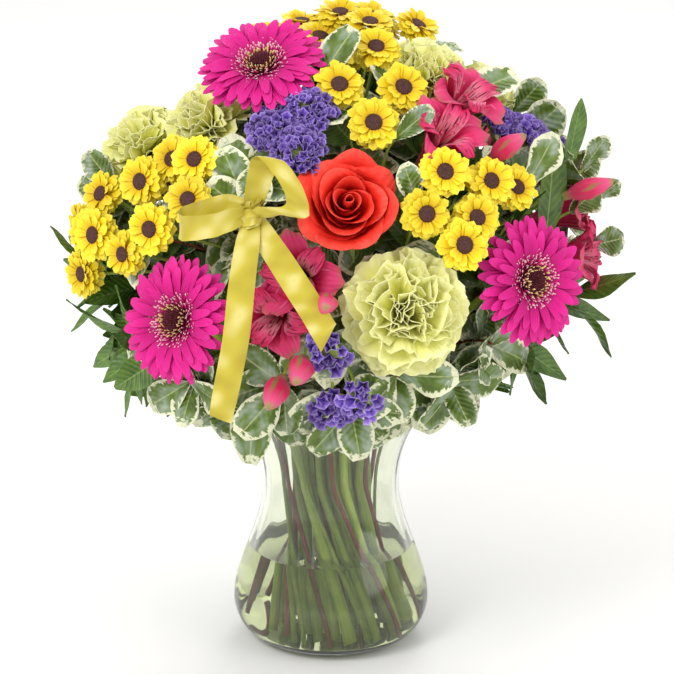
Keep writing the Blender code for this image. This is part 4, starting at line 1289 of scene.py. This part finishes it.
vase()
water()
for name in ("left", "right", "top", "back"):
    gerbera(name)
for name in ("front", "left_low", "left_high", "right_low", "right_high", "back"):
    carnation(name)
rose()
pom_blooms = [pom_bloom(count) for count in (20, 23, 21, 22)]
for name, extra in (("left_high", 1), ("left_low", 1), ("top_front", 1), ("top_back", 4), ("right", 0),
        ("back", 3)):
    pom_spray(name, pom_blooms, extra)
trumpets = [alstroemeria_bloom() for _ in range(3)]
closed_bud = alstroemeria_bud()
for name in ("top", "right", "left", "low", "back"):
    alstroemeria(name, trumpets, closed_bud)
funnel = [statice_floret()]
for name in ("top", "right", "low", "back"):
    statice(name, funnel)

round_leaves = [leaf(OBOVATE, 0.034 * size, 0.0105 * wide, chance.uniform(0.1, 0.3),
    chance.uniform(0.05, 0.3), curl, 6, 7) for size, wide,
    curl in ((1, 1, 0.1), (1.05, 0.95, 0.2), (0.95, 1.1, 0.05), (1.0, 1.05, 0.3), (0.9, 0.9, -0.05))]
pointed_leaves = [leaf(LANCE, 0.058 * size, 0.0085 * wide, chance.uniform(0.1, 0.25),
    chance.uniform(0.1, 0.35), curl, 4, 9) for size, wide,
    curl in ((1, 1, 0.1), (1.05, 1.1, 0.2), (0.95, 0.9, 0.0), (1.0, 1.05, 0.3))]
small_round = [leaf(OBOVATE, 0.042, 0.0142, 0.15, 0.15, curl, 6, 8) for curl in (0.05, 0.2, 0.35)]
small_lance = [leaf(LANCE, 0.054, 0.0098, 0.2, 0.2, curl, 4, 8) for curl in (0.05, 0.2)]
variegated = [f"variegated_sprig_{name}" for name in ("left", "left_front", "top", "right",
    "right_front", "low_left", "low_front", "low_right", "back", "back_left", "back_right")]
pointed = [f"pointed_sprig_{name}" for name in ("left", "left_low", "right", "right_high", "back")]
shoots = shoot_places(variegated + pointed, 112)
for node in variegated:
    bark = brown_twig if len(shoots[node]) % 2 else dark_stem
    sprig(node, round_leaves, small_round, ROUND_AREA, variegated_leaf, bark, "variegated_leaf", 0.034)
for node in pointed:
    sprig(node, pointed_leaves, small_lance, LANCE_AREA, plain_leaf, dark_stem, "plain_leaf", 0.058)
large_leaves()
ribbon()

# ---------------------------------------------------------------- floor, light and camera

shape = new_shape()
bmesh.ops.create_grid(shape, x_segments=4, y_segments=4, size=40)
floor_mesh = baked(shape, "floor")
floor = bpy.data.objects.new("floor", floor_mesh)
bpy.context.scene.collection.objects.link(floor)
# Studio floor: matt white paint, so that the light on it is soft and nothing shines in it.
floor_mesh.materials.append(surface("matt_white_floor", Base_Color=colour("#F7F6F4"), Roughness=0.9)[0])
floor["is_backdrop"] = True

world = bpy.data.worlds.new("studio")
bpy.context.scene.world = world
world.use_nodes = True
world.node_tree.nodes["Background"].inputs["Color"].default_value = colour("#FFFFFF")
world.node_tree.nodes["Background"].inputs["Strength"].default_value = 0.92


def softbox(name, place, size, power):
    """A large soft light that faces the bouquet."""
    lamp = bpy.data.lights.new(name, "AREA")
    lamp.shape = "DISK"
    lamp.size = size
    lamp.energy = power
    thing = bpy.data.objects.new(name, lamp)
    thing.location = place
    thing.rotation_euler = (Vector((0, 0, 0.25)) - Vector(place)).to_track_quat("-Z", "Y").to_euler()
    bpy.context.scene.collection.objects.link(thing)


softbox("key_light", (-1.1, -1.5, 1.7), 0.9, 22)
softbox("fill_light", (1.6, -1.0, 0.9), 1.4, 6)
softbox("rim_light", (0.3, 1.6, 1.5), 1.0, 10)

CAMERA_RISE = math.radians(18)
CAMERA_DISTANCE = 2.4
SENSOR = 36
VIEW_WIDTH = 0.48528
VIEW_CENTRE = 0.228
camera = bpy.data.cameras.new("camera")
camera.sensor_width = SENSOR
camera.lens = SENSOR * CAMERA_DISTANCE / VIEW_WIDTH
camera.shift_x = 0.009
camera.dof.use_dof = False
viewer = bpy.data.objects.new("camera", camera)
viewer.location = (0, -CAMERA_DISTANCE * math.cos(CAMERA_RISE),
    VIEW_CENTRE + CAMERA_DISTANCE * math.sin(CAMERA_RISE))
viewer.rotation_euler = (math.pi / 2 - CAMERA_RISE, 0, 0)
bpy.context.scene.collection.objects.link(viewer)
bpy.context.scene.camera = viewer

bpy.context.scene.view_settings.view_transform = "Standard"

low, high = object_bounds()
